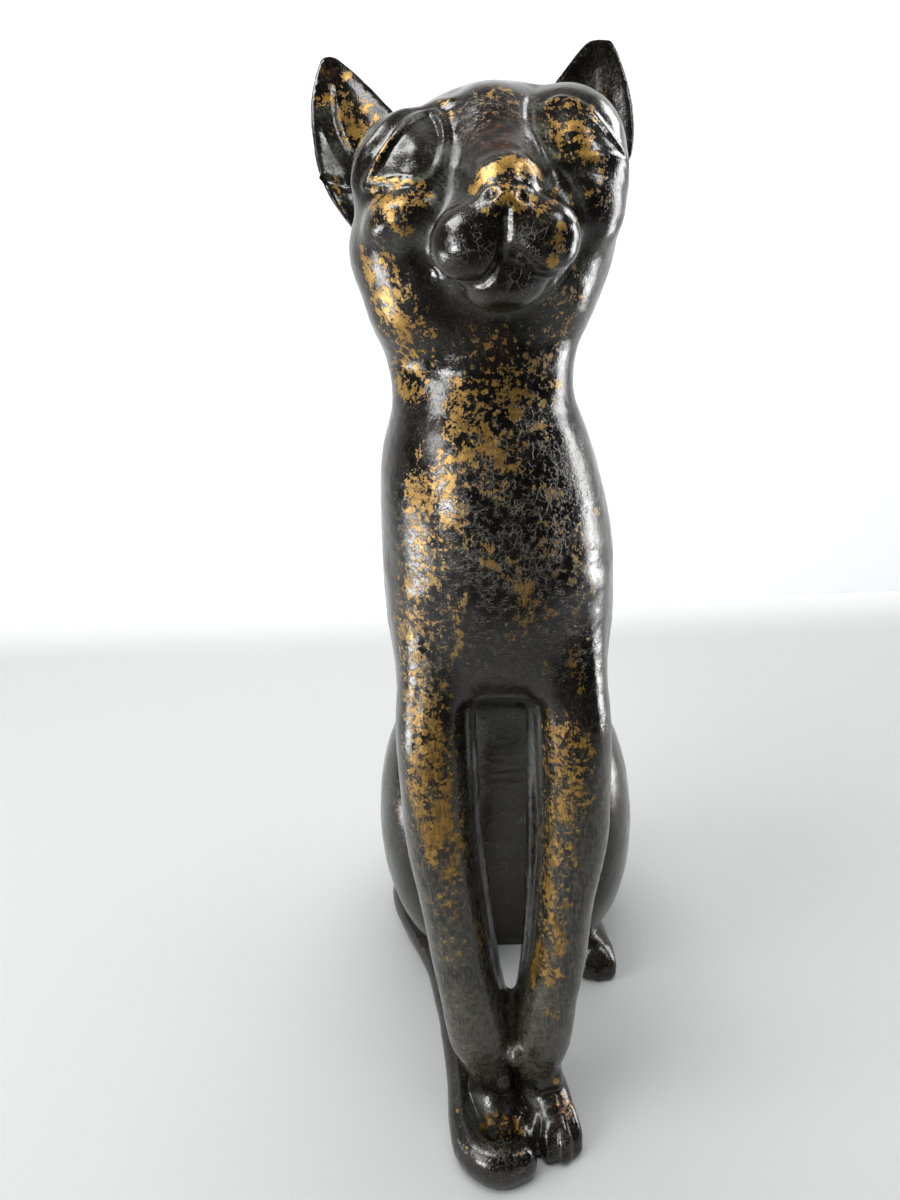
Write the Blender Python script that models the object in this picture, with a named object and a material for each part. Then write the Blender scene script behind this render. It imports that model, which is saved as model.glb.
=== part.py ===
"""Seated cat, carved from one block: head turned a little up, forelegs upright and joined low down,
tail laid round the right side with its tip before the right forepaw. Metres, +Z up, front towards -Y."""

import math

import bmesh
import bpy
import numpy as np
from mathutils import Matrix, Vector

HEIGHT = 0.450  # base to ear tips
NODE = "cat_statue"
MIDDLE = (0.0, 236.6)  # middle of the footprint, in the units of the shape
CELL = 3.8  # spacing of the surface before it is thinned, in the units of the shape
TRIANGLES = 9400  # after thinning
ROUNDS = 6

for old in list(bpy.data.objects):
    bpy.data.objects.remove(old, do_unlink=True)

# ---------------------------------------------------------------------------
# The statue's shape. Every size below is in parts of the standing height, 1008 to the ear tips,
# and is multiplied by UNIT at the end. The front faces -Y, up is +Z, and the
# animal's own right side is -X.
# ---------------------------------------------------------------------------
UNIT = HEIGHT / 1008.0


def turned(pitch=0.0, yaw=0.0, roll=0.0):
    """Rotation matrix: pitch lifts the front, yaw turns the front towards +X, roll leans the top towards -X."""
    return np.array(
        Matrix.Rotation(math.radians(yaw), 3, "Z")
        @ Matrix.Rotation(math.radians(-roll), 3, "Y")
        @ Matrix.Rotation(math.radians(-pitch), 3, "X")
    )


HEAD_AT = np.array((0.5, 158.0, 868.0))  # middle of the skull
HEAD_TURN = turned(pitch=22, yaw=5.6, roll=1.0)


def smooth_min(a, b, k):
    h = np.maximum(k - np.abs(a - b), 0.0) / k
    return np.minimum(a, b) - h**3 * k / 6.0


def smooth_max(a, b, k):
    return -smooth_min(-a, -b, k)


def profile(x, stations, column):
    """Smooth curve, without overshoot, through one column of the stations."""
    s = sorted(stations)
    xs = np.array([r[0] for r in s], float)
    ys = np.array([r[column] for r in s], float)
    h = np.diff(xs)
    d = np.diff(ys) / h
    m = np.zeros(len(xs))
    m[0], m[-1] = d[0], d[-1]
    for i in range(1, len(xs) - 1):
        if d[i - 1] * d[i] > 0:
            w1, w2 = 2 * h[i] + h[i - 1], h[i] + 2 * h[i - 1]
            m[i] = (w1 + w2) / (w1 / d[i - 1] + w2 / d[i])
    i = np.clip(np.searchsorted(xs, x) - 1, 0, len(h) - 1)
    t = np.clip((x - xs[i]) / h[i], 0.0, 1.0)
    return (
        (2 * t**3 - 3 * t**2 + 1) * ys[i]
        + (t**3 - 2 * t**2 + t) * h[i] * m[i]
        + (-2 * t**3 + 3 * t**2) * ys[i + 1]
        + (t**3 - t**2) * h[i] * m[i + 1]
    )


def spline(points, per_span):
    """Smooth curve through rows of numbers."""
    p = np.array(points, float)
    p = np.vstack([2 * p[0] - p[1], p, 2 * p[-1] - p[-2]])
    rows = []
    for i in range(1, len(p) - 2):
        for t in np.arange(per_span) / per_span:
            rows.append(
                0.5
                * (
                    2 * p[i]
                    + (p[i + 1] - p[i - 1]) * t
                    + (2 * p[i - 1] - 5 * p[i] + 4 * p[i + 1] - p[i + 2]) * t**2
                    + (3 * p[i] - p[i - 1] - 3 * p[i + 1] + p[i + 2]) * t**3
                )
            )
    rows.append(p[-2])
    return np.array(rows)


def skin(bm, rings):
    """Closes a stack of rings into one tube with flat ends."""
    n = len(rings[0])
    for low, high in zip(rings, rings[1:]):
        for i in range(n):
            j = (i + 1) % n
            bm.faces.new((low[i], low[j], high[j], high[i]))
    bm.faces.new(list(reversed(rings[0])))
    bm.faces.new(rings[-1])


class Ball:
    """Ellipsoid, turned by `turn`."""

    def __init__(self, centre, radii, turn=None, blend=10.0):
        self.c, self.r = np.array(centre, float), np.array(radii, float)
        self.turn = np.eye(3) if turn is None else turn
        self.blend = blend

    def field(self, p):
        q = (p - self.c) @ self.turn
        k0 = np.linalg.norm(q / self.r, axis=1)
        k1 = np.maximum(np.linalg.norm(q / self.r**2, axis=1), 1e-9)
        return k0 * (k0 - 1.0) / k1

    def build(self, bm):
        place = Matrix.Translation(self.c) @ Matrix(self.turn.tolist()).to_4x4() @ Matrix.Diagonal((*self.r, 1))
        bmesh.ops.create_icosphere(bm, subdivisions=4, radius=1.0, matrix=place)


class Column:
    """Upright body with rounded level sections: rows of (z, middle x, front y, back y, half width)."""

    def __init__(self, rows, blend=10.0, power=2.0):
        self.blend, self.power = blend, power
        self.low, self.top = min(r[0] for r in rows), max(r[0] for r in rows)
        self.z = np.linspace(self.low, self.top, 400)
        self.table = [profile(self.z, rows, i) for i in (1, 2, 3, 4)]

    def section(self, z):
        x, front, back, half = (np.interp(z, self.z, t) for t in self.table)
        return x, (front + back) / 2, (back - front) / 2, half

    def field(self, p):
        xc, yc, b, a = self.section(p[:, 2])
        x, y = p[:, 0] - xc, p[:, 1] - yc
        n = self.power
        k0 = ((np.abs(x) / a) ** n + (np.abs(y) / b) ** n) ** (1 / n)
        k1 = np.sqrt((x / a**2) ** 2 + (y / b**2) ** 2)
        d = k0 * (k0 - 1.0) / np.maximum(k1, 1e-6)
        d = np.where(k0 > 1e-6, np.maximum(d, -np.minimum(a, b)), -np.minimum(a, b))
        return smooth_max(d, np.maximum(self.low - p[:, 2], p[:, 2] - self.top), 12.0)

    def build(self, bm):
        rings, n = [], 40
        for z in np.linspace(self.low, self.top, 48):
            xc, yc, b, a = self.section(z)
            ring = []
            for t in np.arange(n) * 2 * math.pi / n:
                c, s, e = math.cos(t), math.sin(t), 2.0 / self.power
                ring.append(bm.verts.new((xc + a * math.copysign(abs(c) ** e, c), yc + b * math.copysign(abs(s) ** e, s), z)))
            rings.append(ring)
        skin(bm, rings)


class Tube:
    """Round bar along a smooth curve, rows of (x, y, z, radius). `tall` stretches it upwards."""

    def __init__(self, rows, blend=8.0, tall=1.0, per_span=4):
        self.rows = spline(rows, per_span)
        self.blend, self.tall = blend, tall
        self.rows[:, 2] /= tall

    def field(self, p):
        if self.tall != 1.0:
            p = p / (1.0, 1.0, self.tall)
        best = np.full(len(p), 1e9)
        for a, b in zip(self.rows, self.rows[1:]):
            ab = b[:3] - a[:3]
            t = np.clip(((p - a[:3]) @ ab) / (ab @ ab), 0, 1)
            best = np.minimum(best, np.linalg.norm(p - a[:3] - t[:, None] * ab, axis=1) - (a[3] + t * (b[3] - a[3])))
        return best

    def build(self, bm):
        rows, n, first = self.rows, 20, len(bm.verts)
        along = np.gradient(rows[:, :3], axis=0)
        along /= np.linalg.norm(along, axis=1)[:, None]
        up = np.array([0.0, 0.0, 1.0]) if abs(along[0][2]) < 0.9 else np.array([1.0, 0.0, 0.0])
        rings = []
        for row, t in zip(rows, along):
            side = np.cross(t, up)
            side /= np.linalg.norm(side)
            up = np.cross(side, t)
            rings.append(
                [bm.verts.new(Vector(row[:3] + row[3] * (math.cos(a) * side + math.sin(a) * up))) for a in np.arange(n) * 2 * math.pi / n]
            )
        skin(bm, rings)
        for row in (rows[0], rows[-1]):
            bmesh.ops.create_icosphere(bm, subdivisions=3, radius=row[3], matrix=Matrix.Translation(Vector(row[:3])))
        bm.verts.ensure_lookup_table()
        for v in bm.verts[first:]:
            v.co.z *= self.tall


class Ear:
    """Hollow ear, open to the front: rows of (z, inner x, outer x) on the +X side, put on `side` +1 or -1."""

    def __init__(self, rows, side, depth, hollow, thick, blend=8.0):
        self.side, self.depth, self.hollow, self.thick, self.blend = side, depth, hollow, thick, blend
        self.low, self.top = min(r[0] for r in rows), max(r[0] for r in rows)
        self.z = np.linspace(self.low, self.top, 200)
        self.inner, self.outer = profile(self.z, rows, 1), profile(self.z, rows, 2)

    def at(self, z):
        a, b = np.interp(z, self.z, self.inner), np.interp(z, self.z, self.outer)
        return (a + b) / 2, (b - a) / 2, np.clip((self.top - z) / (self.top - 60.0), 0.0, 1.0)

    def middle(self, x, z):
        c, half, down = self.at(z)
        s = np.clip((x - c) / np.maximum(half, 5.0), -1.2, 1.2)
        return self.depth[0] * down + self.depth[1] * (1 - down) + self.hollow * down**0.6 * (1 - s * s) - 9.0 * down * (s < 0) * s * s

    def field(self, p):
        x, y, z = p[:, 0] * self.side, p[:, 1], p[:, 2]
        c, half, down = self.at(z)
        thick = self.thick * (1.0 + 0.8 * down)
        slab = (np.abs(y - self.middle(x, z)) - thick) * 0.75
        edge = (np.abs(x - c) - half) * 0.85
        return smooth_max(smooth_max(slab, edge, 1.7 * thick), np.maximum(z - self.top, self.low - z), 6.0)

    def build(self, bm):
        rings = []
        for z in np.linspace(self.low, self.top - 1.5, 30):
            c, half, down = (float(v) for v in self.at(z))
            thick = self.thick * (1.0 + 0.8 * down) * 1.15
            xs = np.linspace(c - half, c + half, 13)
            mid = self.middle(xs, np.full(13, z))
            ring = [(x * self.side, m - thick, z) for x, m in zip(xs, mid)]
            ring += [(x * self.side, m + thick, z) for x, m in zip(xs[::-1], mid[::-1])]
            if self.side < 0:
                ring.reverse()
            rings.append([bm.verts.new(co) for co in ring])
        skin(bm, rings)


class OnHead:
    """A shape given in the head's own frame."""

    def __init__(self, shape):
        self.shape, self.blend = shape, shape.blend

    def field(self, p):
        return self.shape.field((p - HEAD_AT) @ HEAD_TURN)

    def build(self, bm):
        first = len(bm.verts)
        self.shape.build(bm)
        bm.verts.ensure_lookup_table()
        place = Matrix.Translation(HEAD_AT) @ Matrix(HEAD_TURN.tolist()).to_4x4()
        for v in bm.verts[first:]:
            v.co = place @ v.co


class Line:
    """A ridge (negative depth) or groove (positive depth) that follows a curve on the surface."""

    def __init__(self, curve, width, depth):
        self.curve, self.width, self.depth = curve, width, depth
        self.box = curve.min(0) - 3.2 * width, curve.max(0) + 3.2 * width

    def field(self, p):
        out = np.zeros(len(p))
        near = np.flatnonzero(((p > self.box[0]) & (p < self.box[1])).all(1))
        if len(near):
            q, best = p[near], np.full(len(near), 1e9)
            for a, b in zip(self.curve, self.curve[1:]):
                ab = b - a
                t = np.clip(((q - a) @ ab) / max(ab @ ab, 1e-9), 0, 1)
                best = np.minimum(best, ((q - a - t[:, None] * ab) ** 2).sum(1))
            out[near] = self.depth * np.exp(-best / self.width**2)
        return out


class Swell:
    """A soft swelling (negative depth) or dent (positive depth) at a point, in the head's or the statue's axes."""

    def __init__(self, at, size, depth, turn=None):
        self.at, self.size, self.depth = np.array(at, float), np.array(size, float), depth
        self.turn = np.eye(3) if turn is None else turn

    def field(self, p):
        out = np.zeros(len(p))
        near = np.flatnonzero((np.abs(p - self.at) < 3.0 * self.size.max()).all(1))
        if len(near):
            q = ((p[near] - self.at) @ self.turn) / self.size
            out[near] = self.depth * np.exp(-(q * q).sum(1))
        return out


# Torso and neck:   z, middle x, front y, back y, half width
TORSO = [
    (-20, -4, 300, 480, 118),
    (60, -4, 292, 486, 120),
    (150, -2, 276, 478, 115),
    (250, 0, 250, 448, 104),
    (350, 0, 214, 412, 95),
    (430, -1, 178, 382, 91),
    (474, -1, 124, 363, 98),
    (500, -1, 88, 355, 102),
    (550, -2, 66, 334, 106),
    (610, -2.5, 57, 304, 103.5),
    (670, -6.5, 61, 272, 95.5),
    (714, -9.5, 71, 248, 85.5),
    (732, -10, 76, 240, 79),
    (746, -11, 84, 234, 74),
    (762, -12, 93, 229, 72),
    (782, -13, 105, 226, 73.5),
    (830, -6, 112, 226, 76),
]


def foreleg(side):
    """The leg, the fillet behind its inner edge, and the paw with its toes."""
    slim = 0.0 if side < 0 else 2.5
    s = side
    leg = [
        (14, s * 25 - 1, 48, 96, 24),
        (36, s * 25 - 1, 43, 96, 23.5),
        (54, s * 25 - 2, 45, 97, 24),
        (68, s * 27 - 3 - slim, 45.5, 99, 25.5 - slim),
        (86, s * 30.5 - 3 - slim, 43.5, 101, 28.5 - slim),
        (108, s * 34 - 4 - slim, 40.5, 104, 31.5 - slim),
        (130, s * 37 - 4 - slim, 39.5, 108, 31.5 - slim),
        (160, s * 41 - 4 - slim, 41, 113, 30.5 - slim),
        (205, s * 47.5 - 4, 45, 120, 30 - slim),
        (260, s * 53 - 4, 48, 130, 30.5 - slim),
        (370, s * 63.5 - 3, 55, 148, 33.5),
        (450, s * 64 - 3, 61, 170, 34.5),
        (520, s * 58 - 3, 76, 190, 34),
        (590, s * 50 - 3, 98, 200, 30),
    ]
    behind = [
        (40, s * 14 - 3.5, 72, 100, 17),
        (104, s * 14 - 3.5, 73, 112, 16),
        (124, s * 16.5 - 3.5, 75, 115, 14.5),
        (144, s * 19.5 - 3.5, 78, 120, 13.5),
        (170, s * 22.5 - 3.5, 82, 125, 12.5),
        (205, s * 26 - 3, 90, 132, 12),
        (370, s * 36 - 4, 98, 158, 14),
        (460, s * 40 - 4, 110, 190, 16),
        (540, s * 40 - 4, 120, 200, 16),
    ]
    x, y = (-21, 24) if s < 0 else (37, 1)
    toes = [(-38, 37, 8.5), (-27, 29, 9.5), (-14, 28, 9.5), (-3, 35, 8.5)] if s < 0 else [(16, 15, 9), (29.5, 7.5, 9.5), (43.5, 6.5, 9.5), (54, 14, 9.2)]
    shapes = [
        Column(leg, blend=(8, 38, 220, 440), power=2.3),
        Column(behind, blend=9, power=2.2),
        Tube([(s * 25, 78, 26, 25), ((s * 25 + x) / 2, 56, 28, 24), (x, y + 31, 17, 22)], blend=8),
    ]
    for tx, ty, r in toes:
        shapes.append(Tube([(tx * 0.75 + x * 0.25, ty + 25, 31, r * 0.85), (tx, ty + 9, 22, r), (tx, ty + 1, 9, r)], blend=2.2))
    return shapes


def hind_foot(side):
    x = -68 if side < 0 else 107
    shapes = [Tube([(side * 90, 400, 18, 28), ((side * 84 + x) / 2, 330, 20, 21), (x, 262, 18, 22)], blend=9)]
    for k in (-1, 0, 1):
        shapes.append(Tube([(x + k * 10, 262, 24, 10), (x + k * 12, 246, 18, 11), (x + k * 12, 240 + 3 * abs(k), 8, 11)], blend=5))
    return shapes


def head():
    """Skull, cheeks, eye domes, muzzle, chin, bridge and ears, in the head's own frame."""
    shapes = [
        Ball((1, 10, 11), (98, 98, 98), blend=16),
        Ball((12, -6, 54), (80, 60, 50), blend=22),
        Ball((65, -10, 28), (30, 50, 42), blend=14),
        Ball((-50, -2, -6), (60, 66, 56), blend=16),
        Ball((41, -2, -5), (46, 64, 52), blend=16),
        Ball((-60, -28, 36), (43, 46, 48), blend=12),
        Ball((58, -28, 46), (44, 46, 50), blend=12),
        Ball((-62, -50, -2), (34, 34, 22), blend=18),
        Ball((57, -46, 0), (35, 36, 31), blend=22),
        Ball((66, -42, 24), (31, 34, 28), blend=18),
        Ball((-54, 12, -42), (46, 60, 46), blend=20),
        Ball((39, 12, -42), (38, 58, 42), blend=20),
        Ball((0, -68, -26), (50, 44, 36), blend=13),
        Ball((-25, -92, -32), (28.5, 27, 27), blend=10),
        Ball((21, -92, -32), (28.5, 27, 27), blend=10),
        Ball((-3, -76, -56), (29, 26, 18), blend=11),
        Tube([(0, -48, 62, 27), (0, -67, 34, 25), (0, -89, 7, 24), (-3, -103, -12, 18)], blend=20),
    ]
    upper = [(75, 58, 129), (95, 56, 132), (115, 60, 132.5), (130, 71, 131.5), (140, 78.5, 130), (150, 86.5, 127.5), (160, 95, 124), (167, 102, 121), (172.5, 108, 118.5)]
    right = [(75, 52, 129), (95, 49, 132), (115, 53, 132.5), (130, 64, 131.5), (140, 72, 130), (150, 81, 127.5), (160, 90, 124.5), (166, 96, 122), (170.5, 101.5, 119.5)]
    shapes.append(Ear([(10, 70, 92), (40, 66, 113), (60, 62, 124)] + upper, -1, (44, 52), 20, 4.6, blend=10))
    shapes.append(Ear([(25, 70, 80), (45, 66, 98), (60, 57, 117)] + right, 1, (44, 52), 20, 4.6, blend=10))
    return [OnHead(s) for s in shapes]


def body_shapes():
    shapes = [Column(TORSO, blend=14, power=2.15)]
    shapes.append(Column([(-20, -4, 300, 484, 118), (24, -4, 297, 486, 120), (60, -3, 300, 480, 113), (90, 0, 306, 470, 99)], blend=14, power=3.4))
    for s in (-1, 1):
        shapes.append(Ball((s * 98, 368, 166), (61, 124, 148), turned(pitch=16), blend=30))
        shapes.append(Ball((s * 86, 322, 106), (45 if s < 0 else 41, 88, 90), turned(pitch=4), blend=20))
    for s in (-1, 1):
        shapes += foreleg(s)
        shapes += hind_foot(s)
    # knuckles above the forepaws, and the lump on the web between the forelegs
    shapes += [Ball((x, y, z), (r, r, r), blend=12) for x, y, z, r in ((-16, 53, 57, 8.5), (22, 53, 55, 8), (37, 55, 59, 8))]
    shapes.append(Ball((-1, 53, 97), (10, 11, 13), blend=9))
    shapes.append(Column([(40, -3.5, 64, 108, 15), (90, -3.5, 64, 108, 14.5), (116, -3.5, 70, 110, 14.5), (133, -3.5, 78, 106, 12)], blend=10))
    shapes.append(Ball((6, 30, 11), (9, 19, 17), blend=7))
    # tail, laid round the right side and curled before the right forepaw
    shapes.append(
        Tube(
            [
                (12, 476, 20, 24), (-60, 480, 20, 20), (-108, 460, 19, 17), (-137, 416, 18, 15.5), (-140, 366, 18, 15), (-118, 306, 17, 14), (-92, 246, 17, 13.5),
                (-73, 160, 17, 13.5), (-62, 80, 17, 14), (-59, 38, 17, 15), (-49, 5, 16.5, 16.5), (-24, -10.5, 16.5, 17.5), (0, -6.5, 16.5, 15.5),
            ],
            blend=6,
            tall=1.35,
        )
    )
    shapes += head()
    shapes.append(Tube([(-10, 164, 740, 68), (-5, 166, 806, 74)], blend=20))
    return shapes


# Carved lines of the face, in the head's own frame
EYE_RIMS = (
    [(-93, -56, 26), (-86, -64, 34), (-79, -69, 43), (-66, -69, 56), (-54, -62, 67), (-43, -56, 72), (-36, -62, 65), (-34, -71, 49),
     (-36, -75, 37), (-40, -76, 27), (-48, -74, 20), (-59, -74, 18), (-72, -71, 21), (-84, -64, 22), (-93, -56, 26)],
    [(89, -56, 26), (84, -64, 37), (78, -69, 46), (68, -71, 58), (57, -70, 67), (47, -67, 71), (39, -66, 66), (35, -72, 55),
     (34, -78, 42), (36, -80, 31), (43, -79, 24), (54, -75, 22), (65, -71, 24), (77, -66, 25), (89, -56, 26)],
)
BROWS = (
    [(-101, -42, 34), (-94, -54, 48), (-83, -61, 58), (-67, -58, 72), (-52, -50, 80), (-38, -50, 82), (-27, -57, 77)],
    [(98, -42, 31), (88, -62, 46), (75, -67, 63), (62, -66, 75), (51, -58, 83), (40, -52, 85), (30, -55, 80)],
)
VALLEYS = (
    [(-22, -50, 90), (-23, -60, 78), (-27, -71, 59), (-27, -80, 38), (-31, -82, 25), (-37, -80, 11), (-48, -82, -5), (-57, -78, -14),
     (-61, -69, -23), (-58, -64, -34), (-50, -70, -48), (-40, -78, -58)],
    [(34, -48, 86), (30, -62, 72), (25, -75, 58), (27, -81, 42), (33, -83, 26), (40, -82, 15), (48, -83, 2), (56, -81, -12),
     (60, -69, -26), (54, -63, -42), (45, -64, -54)],
)
MOUTH = [(-52, -80, -42), (-47, -86, -49), (-41, -89, -56), (-30, -95, -61), (-21, -99, -60), (-13, -106, -55), (-6, -110, -46), (4, -109, -48),
         (11, -107, -54), (20, -101, -59), (31, -97, -59), (41, -90, -54), (48, -82, -46)]


class Cat:
    def __init__(self):
        self.shapes = body_shapes()
        self.carving = []
        self.boxes = []
        for s in self.shapes:
            bm = bmesh.new()
            s.build(bm)
            co = np.array([v.co for v in bm.verts])
            bm.free()
            far = (s.blend[1] if isinstance(s.blend, tuple) else s.blend) + 14
            self.boxes.append((co.min(0) - far, co.max(0) + far))
        self.carving = self.face()

    def field(self, p):
        """About the distance from the surface, negative inside."""
        d = np.full(len(p), 60.0)
        for s, (low, high) in zip(self.shapes, self.boxes):
            near = np.flatnonzero(((p > low) & (p < high)).all(1))
            if len(near):
                blend = s.blend
                if isinstance(blend, tuple):
                    blend = np.interp(p[near, 2], blend[2:], blend[:2])
                d[near] = smooth_min(d[near], s.field(p[near]), blend)
        for line in self.carving:
            d += line.field(p)
        return d

    def on_head(self, points):
        """Points of the head's frame, moved onto its surface."""
        p = np.array(points, float) @ HEAD_TURN.T + HEAD_AT
        for _ in range(14):
            value, g = slope(self.field, p)
            p = p - np.clip(value / np.maximum((g * g).sum(1), 0.05), -6, 6)[:, None] * g
        return p

    def face(self):
        found = []

        def line(points, width, depth):
            found.append(Line(self.on_head(spline(points, 5)), width, depth))

        def swell(point, size, depth):
            found.append(Swell(self.on_head([point])[0], size, depth, HEAD_TURN))

        for side, rim, brow, valley in zip((-1, 1), EYE_RIMS, BROWS, VALLEYS):
            socket, ball, ridge = (7.5, -11.5, -4.2) if side < 0 else (2.0, -6.0, -1.5)
            swell((58 * side, -74, 44), (25, 30, 20), socket)
            swell((54 * side if side < 0 else 58, -74, 40), (15, 30, 19), ball)
            line(rim, 2.8, ridge)
            if side < 0:
                line(brow, 6.0, -2.1)
            line(valley[:6], 8.0, 1.2)
            line(valley[5:], 7.5, 2.4)
        line(MOUTH, 2.8, 5.4)
        line([(-3.5, -121, -20), (-4.5, -120, -30), (-5, -118, -40), (-6, -113, -48)], 3.4, 4.6)
        line([(-20, -106, 7), (-10, -112, 11), (1, -113, 13), (14, -109, 12), (28, -90, 8)], 7.0, -1.8)
        swell((-4, -122, -14), (12, 11, 8), -2.6)
        swell((-12.5, -120, -10.5), (3.6, 6, 2.8), 4.0)
        swell((7.5, -120, -13), (3.6, 6, 2.8), 4.0)
        # chipped crack on the crown, and the folds of the ears
        line([(35, -45, 90), (33, -51, 83), (26, -68, 67), (24, -77, 54)], 2.2, 2.0)
        line([(-112, 36, 146), (-111, 38, 119), (-106, 42, 99), (-97, 44, 84)], 4.5, -4.0)
        line([(-124, 36, 74), (-113, 40, 70), (-101, 44, 69)], 3.0, 2.6)
        line([(109, 40, 158), (108, 44, 132), (107, 46, 104), (104, 46, 84)], 3.4, -2.6)
        return found


CORNERS = np.array([(1, 1, 1), (1, -1, -1), (-1, 1, -1), (-1, -1, 1)], float)


def slope(f, p, e=0.4):
    """Value and gradient of f, from the corners of a small tetrahedron."""
    values = [f(p + e * c) for c in CORNERS]
    return sum(values) / 4, sum(v[:, None] * c for v, c in zip(values, CORNERS)) / (4 * e)


def settle(p, edges, f, rounds=6, relax=0.5, limit=3.0):
    """Moves points onto the surface f = 0, spreading them evenly along it."""
    n = len(p)
    count = np.maximum(np.bincount(edges.ravel(), minlength=n), 1).astype(float)
    for i in range(rounds):
        spread = i < rounds - 2
        value, g = slope(f, p)
        size = np.maximum(np.linalg.norm(g, axis=1), 0.2)
        normal = g / size[:, None]
        if spread:
            near = np.stack([np.bincount(edges[:, 0], p[edges[:, 1], k], n) + np.bincount(edges[:, 1], p[edges[:, 0], k], n) for k in range(3)], 1)
            shift = near / count[:, None] - p
            p = p + relax * (shift - (shift * normal).sum(1)[:, None] * normal)
        p = p - np.clip(value / size, -limit, limit)[:, None] * normal
    return p


def one_surface(name, mesh, cell):
    """The overlapping closed shapes of the mesh as one closed surface."""
    obj = bpy.data.objects.new(name, mesh)
    bpy.context.scene.collection.objects.link(obj)
    modifier = obj.modifiers.new("One surface", "REMESH")
    modifier.mode = "VOXEL"
    modifier.voxel_size = cell
    modifier.use_smooth_shade = True
    graph = bpy.context.evaluated_depsgraph_get()
    made = bpy.data.meshes.new_from_object(obj.evaluated_get(graph))
    bpy.data.objects.remove(obj)
    bm = bmesh.new()
    bm.from_mesh(made)
    seen, groups = set(), []
    for v in bm.verts:
        if v in seen:
            continue
        seen.add(v)
        stack, group = [v], []
        while stack:
            w = stack.pop()
            group.append(w)
            for e in w.link_edges:
                o = e.other_vert(w)
                if o not in seen:
                    seen.add(o)
                    stack.append(o)
        groups.append(group)
    groups.sort(key=len)
    for group in groups[:-1]:
        bmesh.ops.delete(bm, geom=group, context="VERTS")
    bm.to_mesh(made)
    bm.free()
    return made


def points_of(mesh):
    flat = np.empty(len(mesh.vertices) * 3, np.float32)
    mesh.vertices.foreach_get("co", flat)
    return flat.reshape(-1, 3).astype(float)


def edges_of(mesh):
    flat = np.empty(len(mesh.edges) * 2, np.int32)
    mesh.edges.foreach_get("vertices", flat)
    return flat.reshape(-1, 2)


def put_points(mesh, p):
    mesh.vertices.foreach_set("co", p.astype(np.float32).ravel())
    mesh.update()


def carved(cat, cell, rounds):
    """Closed mesh of the whole statue, in thousandths of the height, reaching below the floor."""
    bm = bmesh.new()
    for s in cat.shapes:
        s.build(bm)
    rough = bpy.data.meshes.new("rough")
    bm.to_mesh(rough)
    bm.free()
    mesh = one_surface("rough", rough, cell)
    put_points(mesh, settle(points_of(mesh), edges_of(mesh), cat.field, rounds=rounds))
    return mesh


def lacquered_wood():
    material = bpy.data.materials.new("lacquered_wood")
    material.use_nodes = True
    shader = material.node_tree.nodes["Principled BSDF"]
    shader.inputs["Base Color"].default_value = (0.024, 0.020, 0.016, 1.0)
    shader.inputs["Roughness"].default_value = 0.3
    return material


def statue():
    mesh = carved(Cat(), CELL, ROUNDS)
    put_points(mesh, (points_of(mesh) - (MIDDLE[0], MIDDLE[1], 0.0)) * UNIT)
    obj = bpy.data.objects.new(NODE, mesh)
    mesh.name = NODE
    mesh.materials.clear()
    mesh.materials.append(lacquered_wood())
    bpy.context.scene.collection.objects.link(obj)
    for face in mesh.polygons:
        face.use_smooth = True

    thin = obj.modifiers.new("Thin", "DECIMATE")
    thin.ratio = TRIANGLES / (2 * len(mesh.polygons))
    thin.use_collapse_triangulate = True

    # flat underside: everything below the floor is cut away
    bpy.ops.mesh.primitive_cube_add(size=1.0, location=(0.0, 0.0, -0.05))
    below = bpy.context.object
    below.name = "below_floor"
    below.dimensions = (1.0, 1.0, 0.1)
    bpy.ops.object.transform_apply(location=True, rotation=False, scale=True)
    below.hide_render = True
    below.display_type = "WIRE"
    cut = obj.modifiers.new("Flat underside", "BOOLEAN")
    cut.operation = "DIFFERENCE"
    cut.solver = "EXACT"
    cut.object = below


statue()
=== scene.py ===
"""Looks of the seated cat: the carved surface at full detail, its crackled dark lacquer worn through to gold,
a plain pale floor, soft light and a camera above and before the head. Metres, +Z up, front towards -Y."""

import math

import bmesh
import bpy
import numpy as np
from mathutils import Matrix, Vector


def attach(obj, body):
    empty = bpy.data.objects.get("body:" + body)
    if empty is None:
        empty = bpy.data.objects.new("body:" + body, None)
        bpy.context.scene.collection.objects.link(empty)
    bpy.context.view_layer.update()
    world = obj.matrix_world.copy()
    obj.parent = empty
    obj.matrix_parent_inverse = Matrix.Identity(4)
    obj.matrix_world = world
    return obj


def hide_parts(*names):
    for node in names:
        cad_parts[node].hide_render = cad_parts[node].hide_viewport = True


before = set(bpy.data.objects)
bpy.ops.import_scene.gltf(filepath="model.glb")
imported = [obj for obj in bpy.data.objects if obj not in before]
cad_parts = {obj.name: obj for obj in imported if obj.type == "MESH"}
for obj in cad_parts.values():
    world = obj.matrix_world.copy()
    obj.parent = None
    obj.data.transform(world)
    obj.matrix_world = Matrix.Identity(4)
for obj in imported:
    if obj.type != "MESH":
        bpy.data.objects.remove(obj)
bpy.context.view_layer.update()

HEIGHT = 0.450  # base to ear tips
MIDDLE = (0.0, 236.6)  # middle of the footprint, in the units of the shape
CELL = 3.0  # spacing of the surface, in the units of the shape
MOST_TRIANGLES = 194000

# ---------------------------------------------------------------------------
# The statue's shape. Every size below is in parts of the standing height, 1008 to the ear tips,
# and is multiplied by UNIT at the end. The front faces -Y, up is +Z, and the
# animal's own right side is -X.
# ---------------------------------------------------------------------------
UNIT = HEIGHT / 1008.0


def turned(pitch=0.0, yaw=0.0, roll=0.0):
    """Rotation matrix: pitch lifts the front, yaw turns the front towards +X, roll leans the top towards -X."""
    return np.array(
        Matrix.Rotation(math.radians(yaw), 3, "Z")
        @ Matrix.Rotation(math.radians(-roll), 3, "Y")
        @ Matrix.Rotation(math.radians(-pitch), 3, "X")
    )


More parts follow.
